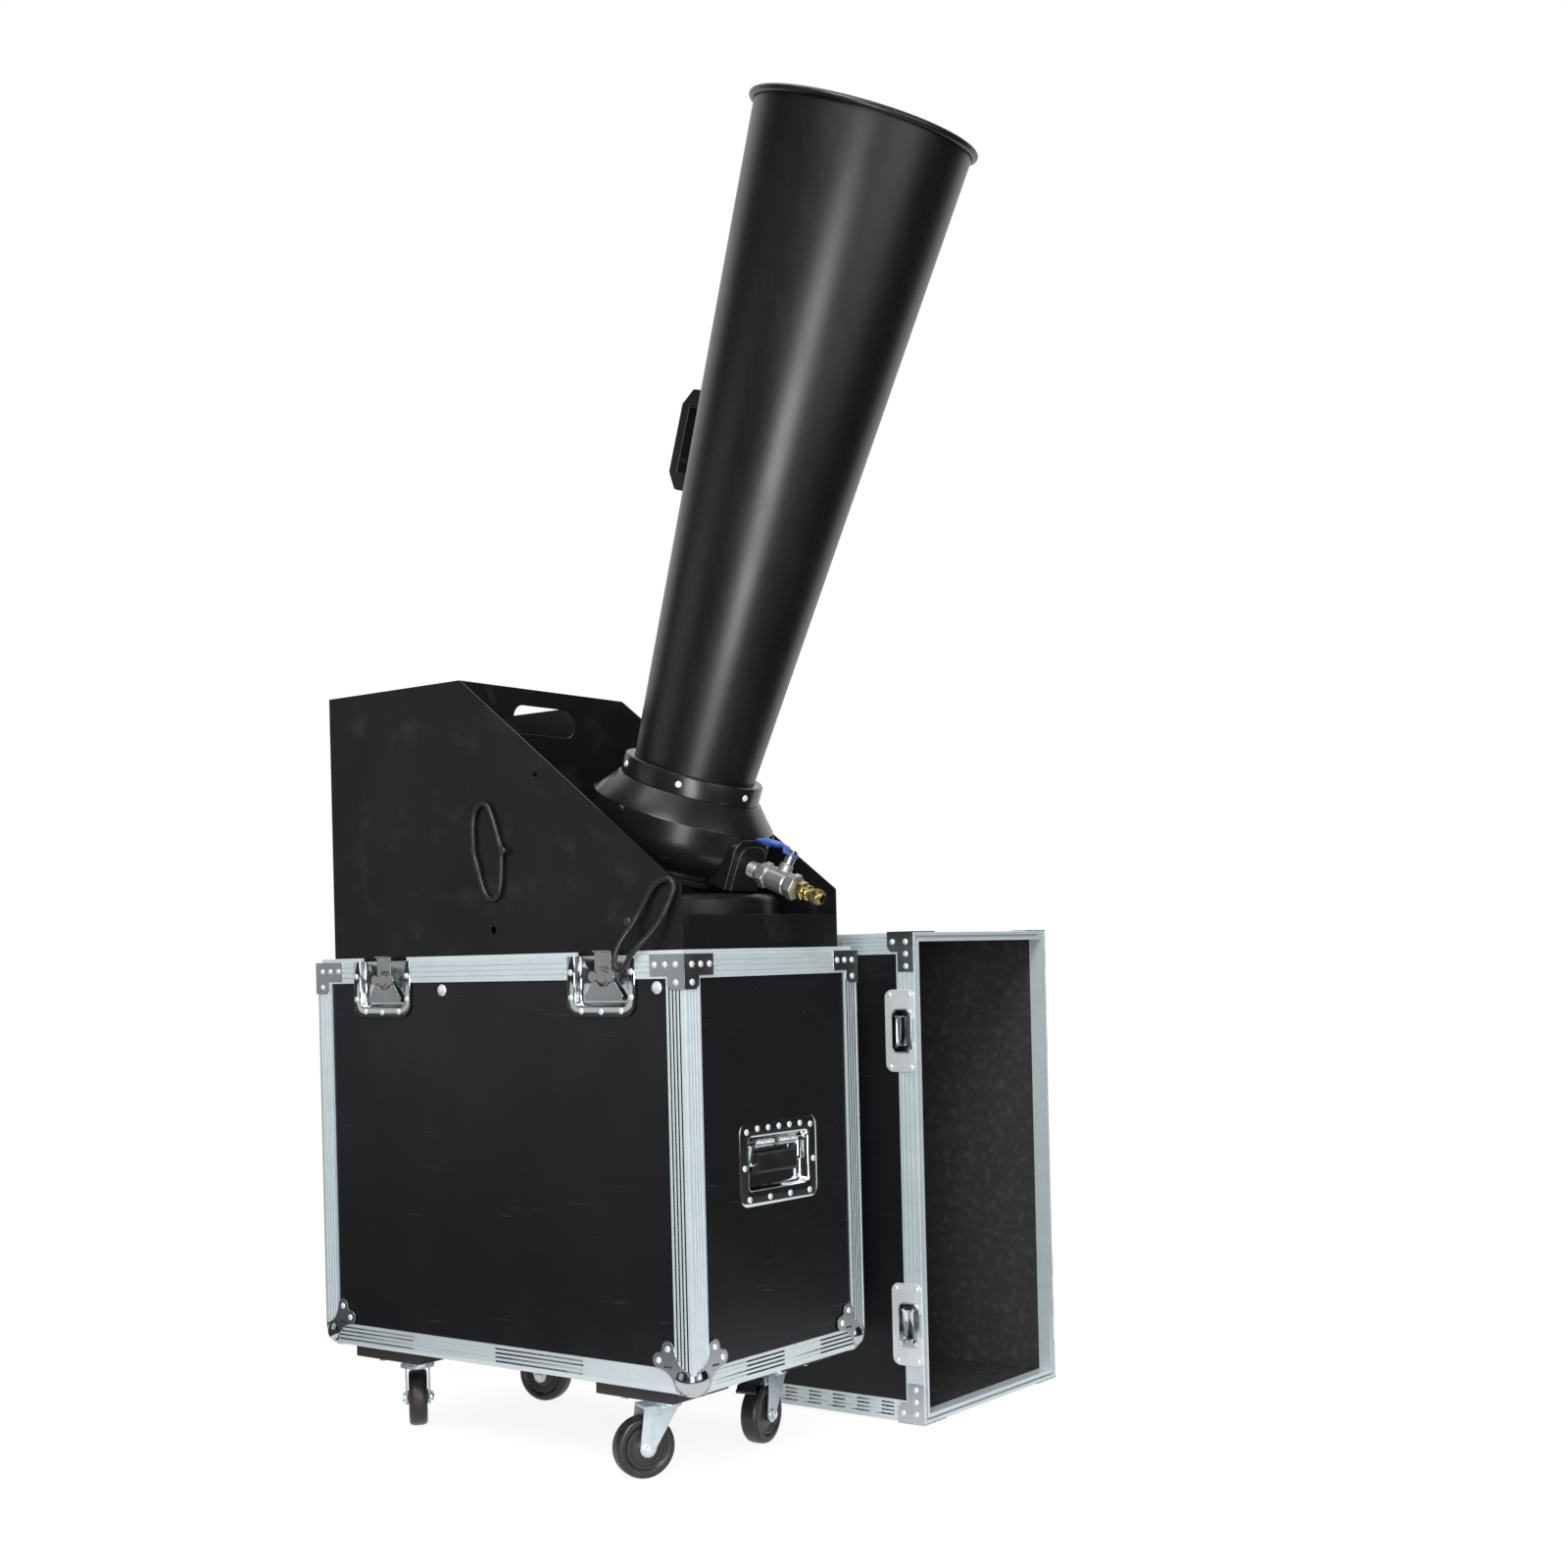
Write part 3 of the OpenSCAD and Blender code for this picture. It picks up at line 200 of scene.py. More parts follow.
def lining():
    f = Finish("lid_lining", Specular_IOR_Level=0.3)
    wear = f.ramp(f.noise(70, 7, distortion=0.3), 0.5, 0.8)
    base = f.blend(f.noise(5, 4), (0.026, 0.027, 0.027), (0.034, 0.035, 0.035))
    f.colour(f.blend(wear, base, (0.06, 0.062, 0.062)))
    f.rough(f.ramp(f.noise(30, 5), 0.3, 0.7, 0.4, 0.6))
    f.bump(f.cells(420), 0.0001, 0.6)
    return f.mat


def extrusion():
    f = Finish("extrusion", 0.4)
    base = f.blend(f.noise(35, 5), (0.54, 0.62, 0.645), (0.64, 0.72, 0.745))
    scuff = f.ramp(f.noise(48, 8, distortion=0.5), 0.66, 0.74, 0, 0.5)
    f.colour(f.blend(scuff, base, (0.36, 0.4, 0.42)))
    stain = f.ramp(f.noise(7, 5), 0.3, 0.72, 0.3, 0.44)
    f.rough(f.math("ADD", stain, f.ramp(f.noise(240, 3), 0.4, 0.6, -0.03, 0.03)))
    f.bump(f.noise(900, 2), 0.00002, 0.5)
    return f.mat


def plated(name, dark, pale, smooth, dull, waves=0.0, metallic=1.0):
    f = Finish(name, metallic)
    f.colour(f.blend(f.noise(26, 5), dark, pale))
    scratch = f.ramp(f.noise(90, 5, (9, 1, 1)), 0.64, 0.7)
    f.rough(f.math("ADD", f.ramp(f.noise(16, 6), 0.3, 0.7, smooth, dull), f.math("MULTIPLY", scratch, 0.12)))
    f.bump(f.noise(420, 3), 0.00004, 0.35)
    if waves:
        f.bump(f.noise(30, 2), waves, 0.5)
    return f.mat


def zinc():
    f = Finish("zinc", 0.5)
    tint = f.blend(f.noise(14, 4), (0.5, 0.6, 0.66), (0.62, 0.68, 0.69))
    f.colour(f.blend(f.ramp(f.noise(70, 6), 0.45, 0.7), tint, (0.42, 0.52, 0.58)))
    f.rough(f.ramp(f.noise(40, 6), 0.3, 0.7, 0.22, 0.4))
    f.bump(f.noise(500, 3), 0.00004, 0.5)
    return f.mat


def powder(name, dark, pale, smooth, dull, grain=0.00008, sheet=0.0):
    f = Finish(name, Specular_IOR_Level=0.22)
    dust = f.ramp(f.noise(18, 7, distortion=0.4), 0.56, 0.8, 0, 0.45)
    f.colour(f.blend(dust, f.blend(f.noise(4, 3), dark, pale), (0.035, 0.036, 0.038)))
    f.rough(f.ramp(f.noise(10, 6), 0.3, 0.7, smooth, dull))
    f.bump(f.cells(380, "SMOOTH_F1"), grain, 0.6)
    if sheet:
        f.bump(f.noise(2.2, 2), sheet, 0.5)
    return f.mat


def gloss(name, dark, pale, smooth, dull, peel=0.00005, **sockets):
    f = Finish(name, **sockets)
    rub = f.ramp(f.noise(26, 8, (1, 1, 5), 0.5), 0.68, 0.74, 0, 0.7)
    f.colour(f.blend(rub, f.blend(f.noise(6, 4), dark, pale), (0.045, 0.045, 0.047)))
    f.rough(f.math("ADD", f.ramp(f.noise(11, 5), 0.3, 0.7, smooth, dull), f.math("MULTIPLY", rub, 0.15)))
    f.bump(f.noise(160, 3), peel, 0.6)
    return f.mat


def tube_paint():
    f = Finish("tube_paint", Specular_IOR_Level=0.6)
    speck = f.ramp(f.cells(170), 0.05, 0.09, 1, 0)
    few = f.math("MULTIPLY", speck, f.ramp(f.noise(40, 3), 0.56, 0.6))
    streak = f.ramp(f.noise(22, 6, (6, 6, 0.5)), 0.5, 0.8, 0, 0.35)
    base = f.blend(streak, (0.003, 0.0033, 0.0034), (0.007, 0.0074, 0.0076))
    f.colour(f.blend(f.math("MULTIPLY", few, 0.6), base, (0.11, 0.11, 0.115)))
    f.rough(f.math("ADD", f.ramp(f.noise(9, 5), 0.3, 0.7, 0.34, 0.4), f.math("MULTIPLY", streak, 0.1)))
    f.bump(f.noise(330, 3), 0.00004, 0.6)
    return f.mat


def rubber(name="rubber", shade=0.012):
    f = Finish(name)
    dust = f.ramp(f.noise(60, 7), 0.5, 0.72, 0, 0.6)
    f.colour(f.blend(dust, (shade, shade, shade * 1.06), (0.033, 0.03135, 0.02915)))
    f.rough(f.ramp(f.noise(35, 5), 0.3, 0.7, 0.3, 0.5))
    f.bump(f.noise(700, 4), 0.00008, 0.5)
    return f.mat


def foam():
    f = Finish("foam", Sheen_Weight=0.2)
    f.colour(f.blend(f.cells(260), (0.02, 0.02, 0.022), (0.05, 0.05, 0.052)))
    f.rough(f.ramp(f.noise(50, 5), 0.3, 0.7, 0.85, 0.97))
    f.bump(f.cells(300), 0.0006, 0.8)
    return f.mat


def board():
    f = Finish("black_board")
    plies = f.ramp(f.noise(2, 0, (0.02, 0.02, 240)), 0.42, 0.58)
    grain = f.noise(14, 6, (1, 9, 9), 0.8)
    f.colour(f.blend(f.ramp(grain, 0.35, 0.75), f.blend(plies, (0.012, 0.011, 0.011), (0.026, 0.022, 0.019)),
        (0.035, 0.03, 0.026)))
    f.rough(f.ramp(grain, 0.3, 0.7, 0.5, 0.7))
    f.bump(f.noise(34, 7, (1, 12, 12), 0.5), 0.0003, 0.6)
    return f.mat


def brass():
    f = Finish("brass", 1.0)
    f.colour(f.blend(f.ramp(f.noise(60, 6), 0.3, 0.75), (0.66, 0.55, 0.26), (0.44, 0.36, 0.16)))
    f.rough(f.ramp(f.noise(90, 5), 0.3, 0.7, 0.2, 0.36))
    f.bump(f.noise(500, 3), 0.00005, 0.5)
    return f.mat


def vinyl():
    f = Finish("blue_vinyl", Coat_Weight=0.25, Coat_Roughness=0.25)
    f.colour(f.blend(f.ramp(f.noise(80, 6), 0.4, 0.75), (0.02, 0.075, 0.34), (0.05, 0.12, 0.42)))
    f.rough(f.ramp(f.noise(50, 4), 0.3, 0.7, 0.32, 0.45))
    f.bump(f.noise(220, 3), 0.0001, 0.5)
    return f.mat


LAMINATE = laminate()
LINING = lining()
EXTRUSION = extrusion()
CHROME = plated("chrome", (0.58, 0.62, 0.64), (0.7, 0.74, 0.76), 0.06, 0.16)
PETAL = plated("corner_plate", (0.4, 0.43, 0.45), (0.54, 0.57, 0.59), 0.24, 0.36, 0.0003)
DISH = plated("pressed_steel", (0.56, 0.6, 0.62), (0.7, 0.74, 0.76), 0.12, 0.24, 0.0004)
DARK = plated("latch_plate", (0.26, 0.27, 0.28), (0.4, 0.41, 0.42), 0.14, 0.24, 0.0003)
BRIGHT = plated("bright_steel", (0.68, 0.72, 0.74), (0.82, 0.85, 0.86), 0.16, 0.28)
NICKEL = plated("nickel_plate", (0.36, 0.36, 0.355), (0.52, 0.52, 0.51), 0.28, 0.4, 0.0, 0.85)
BALL = plated("corner_ball", (0.4, 0.43, 0.45), (0.52, 0.55, 0.57), 0.09, 0.2)
RIVET = plated("rivet_steel", (0.72, 0.76, 0.78), (0.88, 0.9, 0.9), 0.3, 0.42, 0.0, 0.5)
ZINC = zinc()
SHEET = powder("black_steel", (0.0045, 0.0048, 0.005), (0.0085, 0.0088, 0.009), 0.27, 0.38, 0.00005, 0.0012)
SPUN = gloss("spun_black", (0.0045, 0.0048, 0.005), (0.009, 0.0093, 0.0096), 0.22, 0.33)
TUBE_PAINT = tube_paint()
HUB = gloss("black_hub", (0.014, 0.014, 0.015), (0.03, 0.03, 0.032), 0.25, 0.4)
RUBBER = rubber()
GRIP = rubber("black_grip", 0.009)
FOAM = foam()
BOARD = board()
ROPE = gloss("coated_rope", (0.008, 0.0084, 0.009), (0.02, 0.021, 0.022), 0.3, 0.42, 0.00012)
BRASS = brass()
VINYL = vinyl()


# Shapes
class Shape:
    """Solids that are collected in one mesh."""

    def __init__(self, at=Matrix()):
        self.mesh = bmesh.new()
        self.at = at

    def add(self, points, faces, at=Matrix()):
        place = self.at @ at
        made = [self.mesh.verts.new(place @ (Vector(p) * MM)) for p in points]
        for face in faces:
            self.mesh.faces.new([made[i] for i in face])

    def lathe(self, profile, at=Matrix(), sides=64, closed=True, shift=None):
        """Turns (radius, height) points round local Z."""
        points = []
        for k in range(sides):
            a = 2 * math.pi * k / sides
            for r, z in profile:
                point = Vector((r * math.cos(a), r * math.sin(a), z))
                points.append(shift(point) if shift else point)
        n = len(profile)
        last = n if closed else n - 1
        faces = []
        for k in range(sides):
            for i in range(last):
                j = (i + 1) % n
                m = (k + 1) % sides
                faces.append((k * n + i, m * n + i, m * n + j, k * n + j))
        self.add(points, faces, at)

    def solid_lathe(self, profile, at=Matrix(), sides=32):
        """Turns an open profile and closes its ends with flat faces."""
        points = []
        for k in range(sides):
            a = 2 * math.pi * k / sides
            points += [(r * math.cos(a), r * math.sin(a), z) for r, z in profile]
        n = len(profile)
        faces = [[k * n for k in range(sides)], [k * n + n - 1 for k in reversed(range(sides))]]
        for k in range(sides):
            for i in range(n - 1):
                m = (k + 1) % sides
                faces.append((k * n + i, m * n + i, m * n + i + 1, k * n + i + 1))
        self.add(points, faces, at)

    def prism(self, outline, depth, at=Matrix()):
        n = len(outline)
        points = [(x, y, 0) for x, y in outline] + [(x, y, depth) for x, y in outline]
        faces = [list(range(n))[::-1], list(range(n, 2 * n))]
        faces += [(i, (i + 1) % n, n + (i + 1) % n, n + i) for i in range(n)]
        self.add(points, faces, at)

    def rings(self, points, count, around, at=Matrix()):
        """Skins a stack of rings of points and closes its ends."""
        faces = [(i * around + k, (i + 1) * around + k, (i + 1) * around + (k + 1) % around,
            i * around + (k + 1) % around) for i in range(count - 1) for k in range(around)]
        faces += [list(range(around)), list(range((count - 1) * around, count * around))[::-1]]
        self.add(points, faces, at)

    def bar(self, profile, x0, x1, at=Matrix(), mitres=(False, False)):
        """Runs a profile of (depth, height) points along local X, with its outer face on Y 0."""
        n = len(profile)
        points = [(x0 + d * mitres[0], -d, h) for d, h in profile]
        points += [(x1 - d * mitres[1], -d, h) for d, h in profile]
        faces = [list(range(n)), list(range(n, 2 * n))[::-1]]
        faces += [(i, (i + 1) % n, n + (i + 1) % n, n + i) for i in range(n)]
        self.add(points, faces, at)

    def rope(self, route, radius, flat, at=Matrix(), sides=12, closed=True):
        """A round rod along a route whose direction is never close to the vector flat."""
        n = len(route)
        points = []
        for i in range(n):
            before = route[(i - 1) % n] if closed or i else route[0]
            after = route[(i + 1) % n] if closed or i < n - 1 else route[-1]
            along = (Vector(after) - Vector(before)).normalized()
            u = Vector(flat).cross(along).normalized()
            v = along.cross(u)
            r = radius(i / n) if callable(radius) else radius
            for k in range(sides):
                a = 2 * math.pi * k / sides
                points.append(Vector(route[i]) + r * (math.cos(a) * u + math.sin(a) * v))
        faces = []
        for i in range(n if closed else n - 1):
            j = (i + 1) % n
            for k in range(sides):
                m = (k + 1) % sides
                faces.append((i * sides + k, j * sides + k, j * sides + m, i * sides + m))
        if not closed:
            faces.append(list(range(sides)))
            faces.append([(n - 1) * sides + k for k in reversed(range(sides))])
        self.add(points, faces, at)


def show(name, mesh, finish, body, slot, bevel=0.0, steps=2, sharp=32):
    """Makes the object of a mesh, with worn edges where a bevel is given."""
    bmesh.ops.recalc_face_normals(mesh, faces=mesh.faces)
    data = bpy.data.meshes.new(name)
    mesh.to_mesh(data)
    mesh.free()
    made = bpy.data.objects.new(name, data)
    bpy.context.scene.collection.objects.link(made)
    data.materials.append(finish)
    data.polygons.foreach_set("use_smooth", [True] * len(data.polygons))
    data.set_sharp_from_angle(angle=math.radians(sharp))
    if bevel:
        edge = made.modifiers.new("edges", "BEVEL")
        edge.limit_method = "ANGLE"
        edge.angle_limit = math.radians(sharp)
        edge.width = bevel * MM
        edge.segments = steps
        edge.use_clamp_overlap = False
        edge.harden_normals = True
    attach(made, body)
    return made


def piece(name, shape, finish, body, slot, replaces=(), **look):
    made = show(name, shape.mesh, finish, body, slot, **look)
    if replaces:
        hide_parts(*replaces)
    return made


def soften(node, finish, bevel=0.5, **look):
    """Dresses a CAD node: the same solid, with rounded edges and smooth curves."""
    mesh = bmesh.new()
    mesh.from_mesh(nodes[node].data)
    bmesh.ops.remove_doubles(mesh, verts=mesh.verts, dist=2e-6)
    bmesh.ops.dissolve_limit(mesh, angle_limit=math.radians(0.8), verts=mesh.verts, edges=mesh.edges)
    body = nodes[node]["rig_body"]
    made = show(node + "_dressed", mesh, finish, body, slot_of[node], bevel, **look)
    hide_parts(node)
    return made


def dress(finish, *names):
    """Gives CAD nodes that are shown as they are their material."""
    for name in names:
        data = nodes[name].data
        data.materials.clear()
        data.materials.append(finish)


def grooved(h0, h1, spots, half=1.1, depth=1.1):
    """Points up the outer face of an extrusion, with grooves along it."""
    line = [(0, h0)]
    for h in spots:
        line += [(0, h - half), (depth, h - half / 2), (depth, h + half / 2), (0, h + half)]
    return line + [(0, h1)]


def smooth_loop(route, steps=6):
    """A closed curve through the points of a route."""
    n = len(route)
    out = []
    for i in range(n):
        a, b, c, d = (Vector(route[(i + k) % n]) for k in (-1, 0, 1, 2))
        for s in range(steps):
            t = s / steps
            out.append(0.5 * (2 * b + (c - a) * t + (2 * a - 5 * b + 4 * c - d) * t * t
                + (3 * b - a - 3 * c + d) * t ** 3))
    return out


def islands(node):
    """Points of each separate head in a node of fasteners."""
    mesh = bmesh.new()
    mesh.from_mesh(nodes[node].data)
    bmesh.ops.remove_doubles(mesh, verts=mesh.verts, dist=2e-6)
    seen = set()
    found = []
    for start in mesh.verts:
        if start in seen:
            continue
        group = []
        todo = [start]
        seen.add(start)
        while todo:
            vert = todo.pop()
            group.append(vert.co.copy())
            for edge in vert.link_edges:
                other = edge.other_vert(vert)
                if other not in seen:
                    seen.add(other)
                    todo.append(other)
        found.append(group)
    mesh.free()
    return found


# Case
# The extrusions stop short of a ball corner
CLEAR = 25


def shell_trim(shape, at, height, rim, notches=()):
    """Edge and rim extrusions of a shell that stands on its closed end."""
    ribs, width, edge, thick = (25, 19.5, 14, 8.5), 30, 2.4, 2
    outer = [(thick, width)] + grooved(width, edge, ribs) + [(0.7, 0.7), (edge, 0)]
    inner = [(width, thick), (thick, thick)]
    foot = outer + [(width, 0)] + inner
    post = outer + [(d, h) for h, d in grooved(edge, width, ribs[::-1])[1:]] + inner
    for k in range(4):
        half, reach = (CASE_W / 2, CASE_L / 2) if k % 2 == 0 else (CASE_L / 2, CASE_W / 2)
        side = at @ turn(90 * k, "Z")
        shape.bar(foot, CLEAR - reach, reach - CLEAR, side @ move(0, half, 0.05 * (k % 2)))
        corner = side @ move(reach, half, 0) @ axes((0, 0, -1), (1, 0, 0), (0, -1, 0))
        shape.bar(post, width - height, -CLEAR, corner)
        gaps = notches if k % 2 == 0 else ()
        breaks = [-reach] + [x for gap in gaps for x in gap] + [reach]
        for x0, x1 in zip(breaks[::2], breaks[1::2]):
            ends = (x0 == -reach, x1 == reach)
            shape.bar(rim, x0, x1, side @ move(0, half, height), ends)
        for a, b in gaps:
            shape.bar([(11, -20), (11, 0), (13, 0), (13, -20)], a, b, side @ move(0, half, height))


rim_face = [(2, -30)] + grooved(-30, -2.4, (-23, -16, -9)) + [(0, -0.6), (0.6, 0)]
tongue = rim_face + [(5, 0), (5, 4.4), (5.6, 5), (7.4, 5), (8, 4.4), (8, 0), (13, 0), (13, -20), (11, -20),
    (11, -2), (2, -2)]
groove = rim_face + [(4.7, 0), (4.7, -5.3), (8.3, -5.3), (8.3, 0), (13, 0), (13, -20), (11, -20),
    (11, -7.3), (2, -7.3)]
trim = Shape(CASE)
shell_trim(trim, Matrix(), CASE_H, tongue, [(x - NOTCH, x + NOTCH) for x in (-LATCH_X, LATCH_X)])
piece("case_extrusions", trim, EXTRUSION, "case", "extrusion", ("edge_angles", "rim_frame"), sharp=25)
dress(LAMINATE, "floor_panel", "wall_panels")
dress(FOAM, "foam_lining")
soften("castor_boards", BOARD, 1.2)


BALL_R, BALL_IN = 22.5, 17.5
PLATE_T = 1.4
LOBES = [(40, 55), (55, 40)]


def arc(x, y, r, start, end, steps=10):
    """Points along an arc, in degrees."""
    turns = [math.radians(start + (end - start) * k / steps) for k in range(steps + 1)]
    return [(x + r * math.cos(a), y + r * math.sin(a)) for a in turns]


def ball(shape, at, sx, sy):
    """Pressed ball that takes the corner's place."""
    # The first and the last row are tiny rings, which the flat ends close
    rows, columns = 32, 64
    middle = at @ move(sx * (CASE_L / 2 - BALL_IN), sy * (CASE_W / 2 - BALL_IN), BALL_IN)
    points = []
    for i in range(rows + 1):
        tilt = math.pi * (i + 0.01) / (rows + 0.02)
        for k in range(columns):
            a = 2 * math.pi * k / columns
            points.append((BALL_R * math.sin(tilt) * math.cos(a), BALL_R * math.sin(tilt) * math.sin(a),
                BALL_R * math.cos(tilt)))
    shape.rings(points, rows + 1, columns, middle)


def petal_outline():
    """Concave sides that end in two round lobes, seen from outside with the corner at the origin."""
    (x1, y1), (x2, y2) = LOBES
    hollow = 30
    side = arc(0, 58, hollow, -82, -13) + arc(x1, y1, 10, 195, -12)[1:]
    return side + [(y, x) for x, y in reversed(side)] + [(20, 4), (4, 20)]


def domed(shape, at, r=4.1, h=1.9):
    shape.solid_lathe([(r, 0), (r - 0.1, 0.35), (r * 0.9, h * 0.55), (r * 0.72, h * 0.82),
        (r * 0.42, h * 0.96), (r * 0.12, h)], at, 20)


def corner_pieces(name, at, height, body, replaced, riveted=False):
    """Balls and petals at a shell's closed end, and the braces of its rim."""
    balls, plates, slots, rivets = (Shape(at) for _ in range(4))
    brace = [(-PLATE_T, height), (55, height), (55, height - 27), (27, height - 27), (27, height - 38),
        (21, height - 44), (-PLATE_T, height - 44)]
    heads_at = LOBES + [(47, height - 13), (30, height - 13), (13, height - 13), (13, height - 35)]
    for sx, sy in SIDES:
        ball(balls, Matrix(), sx, sy)
        corner = move(sx * CASE_L / 2, sy * CASE_W / 2, 0)
        for along, out in (((-sx, 0, 0), (0, sy, 0)), ((0, -sy, 0), (sx, 0, 0))):
            face = corner @ axes(along, (0, 0, 1), out)
            plates.prism(petal_outline(), PLATE_T, face)
            plates.prism(brace, PLATE_T, face)
            slots.prism([(34, 31.5), (47, 31.5), (47, 34), (34, 34)], 1.5, face)
            for x, z in heads_at if riveted else ():
                domed(rivets, face @ move(x, z, PLATE_T))
        low = corner @ axes((-sx, 0, 0), (0, -sy, 0), (0, 0, -1))
        plates.prism([(20, 4), (30, 4), (30, 30), (4, 30), (4, 20)], PLATE_T, low)
    piece(name + "_balls", balls, BALL, body, "steel_corner", replaced[:1], sharp=180)
    piece(name + "_petals", plates, PETAL, body, "steel_corner", replaced[1:], bevel=0.5)
    piece(name + "_petal_slots", slots, BOARD, body, "steel_corner")
    if riveted:
        piece(name + "_rivets", rivets, RIVET, body, "steel_corner", sharp=40)


corner_pieces("case", CASE, CASE_H, "case", ("ball_corners", "corner_plates"))


def thin_axis(spread):
    """Direction in which a flat group of points spreads least."""
    best = None
    candidates = [Vector((math.cos(math.radians(a)) * math.cos(math.radians(b)),
        math.sin(math.radians(a)) * math.cos(math.radians(b)), math.sin(math.radians(b))))
        for a in range(0, 180, 3) for b in range(-90, 90, 3)]
    for v in candidates:
        value = (spread @ v).dot(v)
        if best is None or value < best[0]:
            best = (value, v)
    return best[1]


# Least radius of a round-headed bolt and of a socket screw
BOLT_R, SCREW_R = 6, 4


def facing(spot, axis):
    return Matrix.Translation(spot) @ axis.to_track_quat("Z", "Y").to_matrix().to_4x4()


def heads(node):
    """Domed rivets, round-headed bolts and socket screws in place of the plain heads, and painted bolts."""
    shape, painted = Shape(), Shape()
    for group in islands(node):
        centre = sum(group, Vector()) / len(group)
        spread = Matrix(((0, 0, 0), (0, 0, 0), (0, 0, 0)))
        for p in group:
            d = p - centre
            for i in range(3):
                for j in range(3):
                    spread[i][j] += d[i] * d[j]
        axis = thin_axis(spread)
        heights = [(p - centre).dot(axis) for p in group]
        h = (max(heights) - min(heights)) / MM
        wide = [((p - centre) - (p - centre).dot(axis) * axis).length / MM for p in group]
        top = max(w for w, z in zip(wide, heights) if z > 0)
        base = max(w for w, z in zip(wide, heights) if z < 0)
        if base < top:
            axis = -axis
        r = max(wide)
        foot = centre - axis * h * MM / 2
        at = facing(foot, axis)
        if abs(top - base) < 0.2:
            # Both ends look alike, so the amplifier's middle tells which way is out
            if (foot - AMP.translation).dot(axis) < 0:
                at = facing(foot + axis * h * MM, -axis)
            painted.solid_lathe([(r, 0), (r, h - 0.8), (r - 0.9, h)], at, 6)
        elif r > BOLT_R:
            shape.solid_lathe([(r, 0), (r, 0.6)] + [(r * math.cos(math.radians(a)),
                0.6 + (h - 0.6) * math.sin(math.radians(a))) for a in (15, 30, 45, 60, 75, 86)], at, 40)
        elif r > SCREW_R:
            shape.solid_lathe([(r, 0), (r, 0.5), (r - 0.4, 1.2), (r - 1.2, 1.8), (2.2, 2), (2, 0.6),
                (0.2, 0.6)], at, 24)
        else:
            domed(shape, at, r + 0.9, h + 0.3)
    return shape, painted


plain, painted = heads("fasteners")
piece("fastener_heads", plain, RIVET, "case", slot_of["fasteners"], ("fasteners",), sharp=40)
piece("painted_bolts", painted, SPUN, "case", slot_of["fasteners"], sharp=40)


def pressed(shape, rings, at, closed, corner=8):
    """A dish pressed from sheet: (half width, top, bottom, radius, depth) outlines and a flat back."""
    loops = []
    for half, top, bottom, r, y in rings:
        turns = [math.radians(90 * k / corner) for k in range(corner + 1)]
        left = [(-half + r - r * math.cos(a), bottom + r - r * math.sin(a)) for a in turns]
        loop = left + [(-x, z) for x, z in reversed(left)]
        if closed:
            over = [(half - r + r * math.cos(a), top - r + r * math.sin(a)) for a in turns]
            loop += over + [(-x, z) for x, z in reversed(over)]
        else:
            loop = [(-half, top)] + loop + [(half, top)]
        loops.append([(x, y, z) for x, z in loop])
    n = len(loops[0])
    faces = []
    for i in range(len(loops) - 1):
        for k in range(n if closed else n - 1):
            m = (k + 1) % n
            faces.append((i * n + k, i * n + m, (i + 1) * n + m, (i + 1) * n + k))
    faces.append([(len(loops) - 1) * n + k for k in range(n)])
    shape.add([p for loop in loops for p in loop], faces, at)


def sheet(made, thick):
    solid = made.modifiers.new("sheet", "SOLIDIFY")
    solid.thickness = thick * MM
    solid.offset = 0
    return made


# Latches: a dish pressed with a flange at its sides and foot, open at the rim
dishes = Shape()
shafts = Shape()
for sx, sy in SIDES:
    at = latch_frame(sx, sy)
    pressed(dishes, [(57, 38.4, -38, 18.5, 0.5), (57, 38.4, -38, 18.5, 0.9), (56.2, 38.4, -37.2, 17.7, 1.3),
        (46.5, 38.4, -27, 9, 1.3), (45.2, 38.4, -25.7, 8, 0.9), (44.4, 38.4, -24.9, 7.5, -0.2),
        (43.2, 38.4, -23.4, 7, -7), (41.8, 38.4, -22, 6, -8.6), (39.5, 38.4, -19.7, 5, -9)], at, False)
    shafts.solid_lathe([(9, -8.8), (9, -5.9)], at @ move(0, 0, 12.5) @ turn(-90, "X"), 40)
sheet(piece("latch_pans", dishes, DISH, "case", "steel_corner", ("latch_dishes",), sharp=50), 0.8)
piece("latch_sockets", shafts, CHROME, "case", "steel_corner", bevel=0.4)
for i in range(1, 5):
    soften(f"latch_hook_{i}", DARK, 0.4)
    soften(f"latch_wing_{i}", DARK, 0.5)

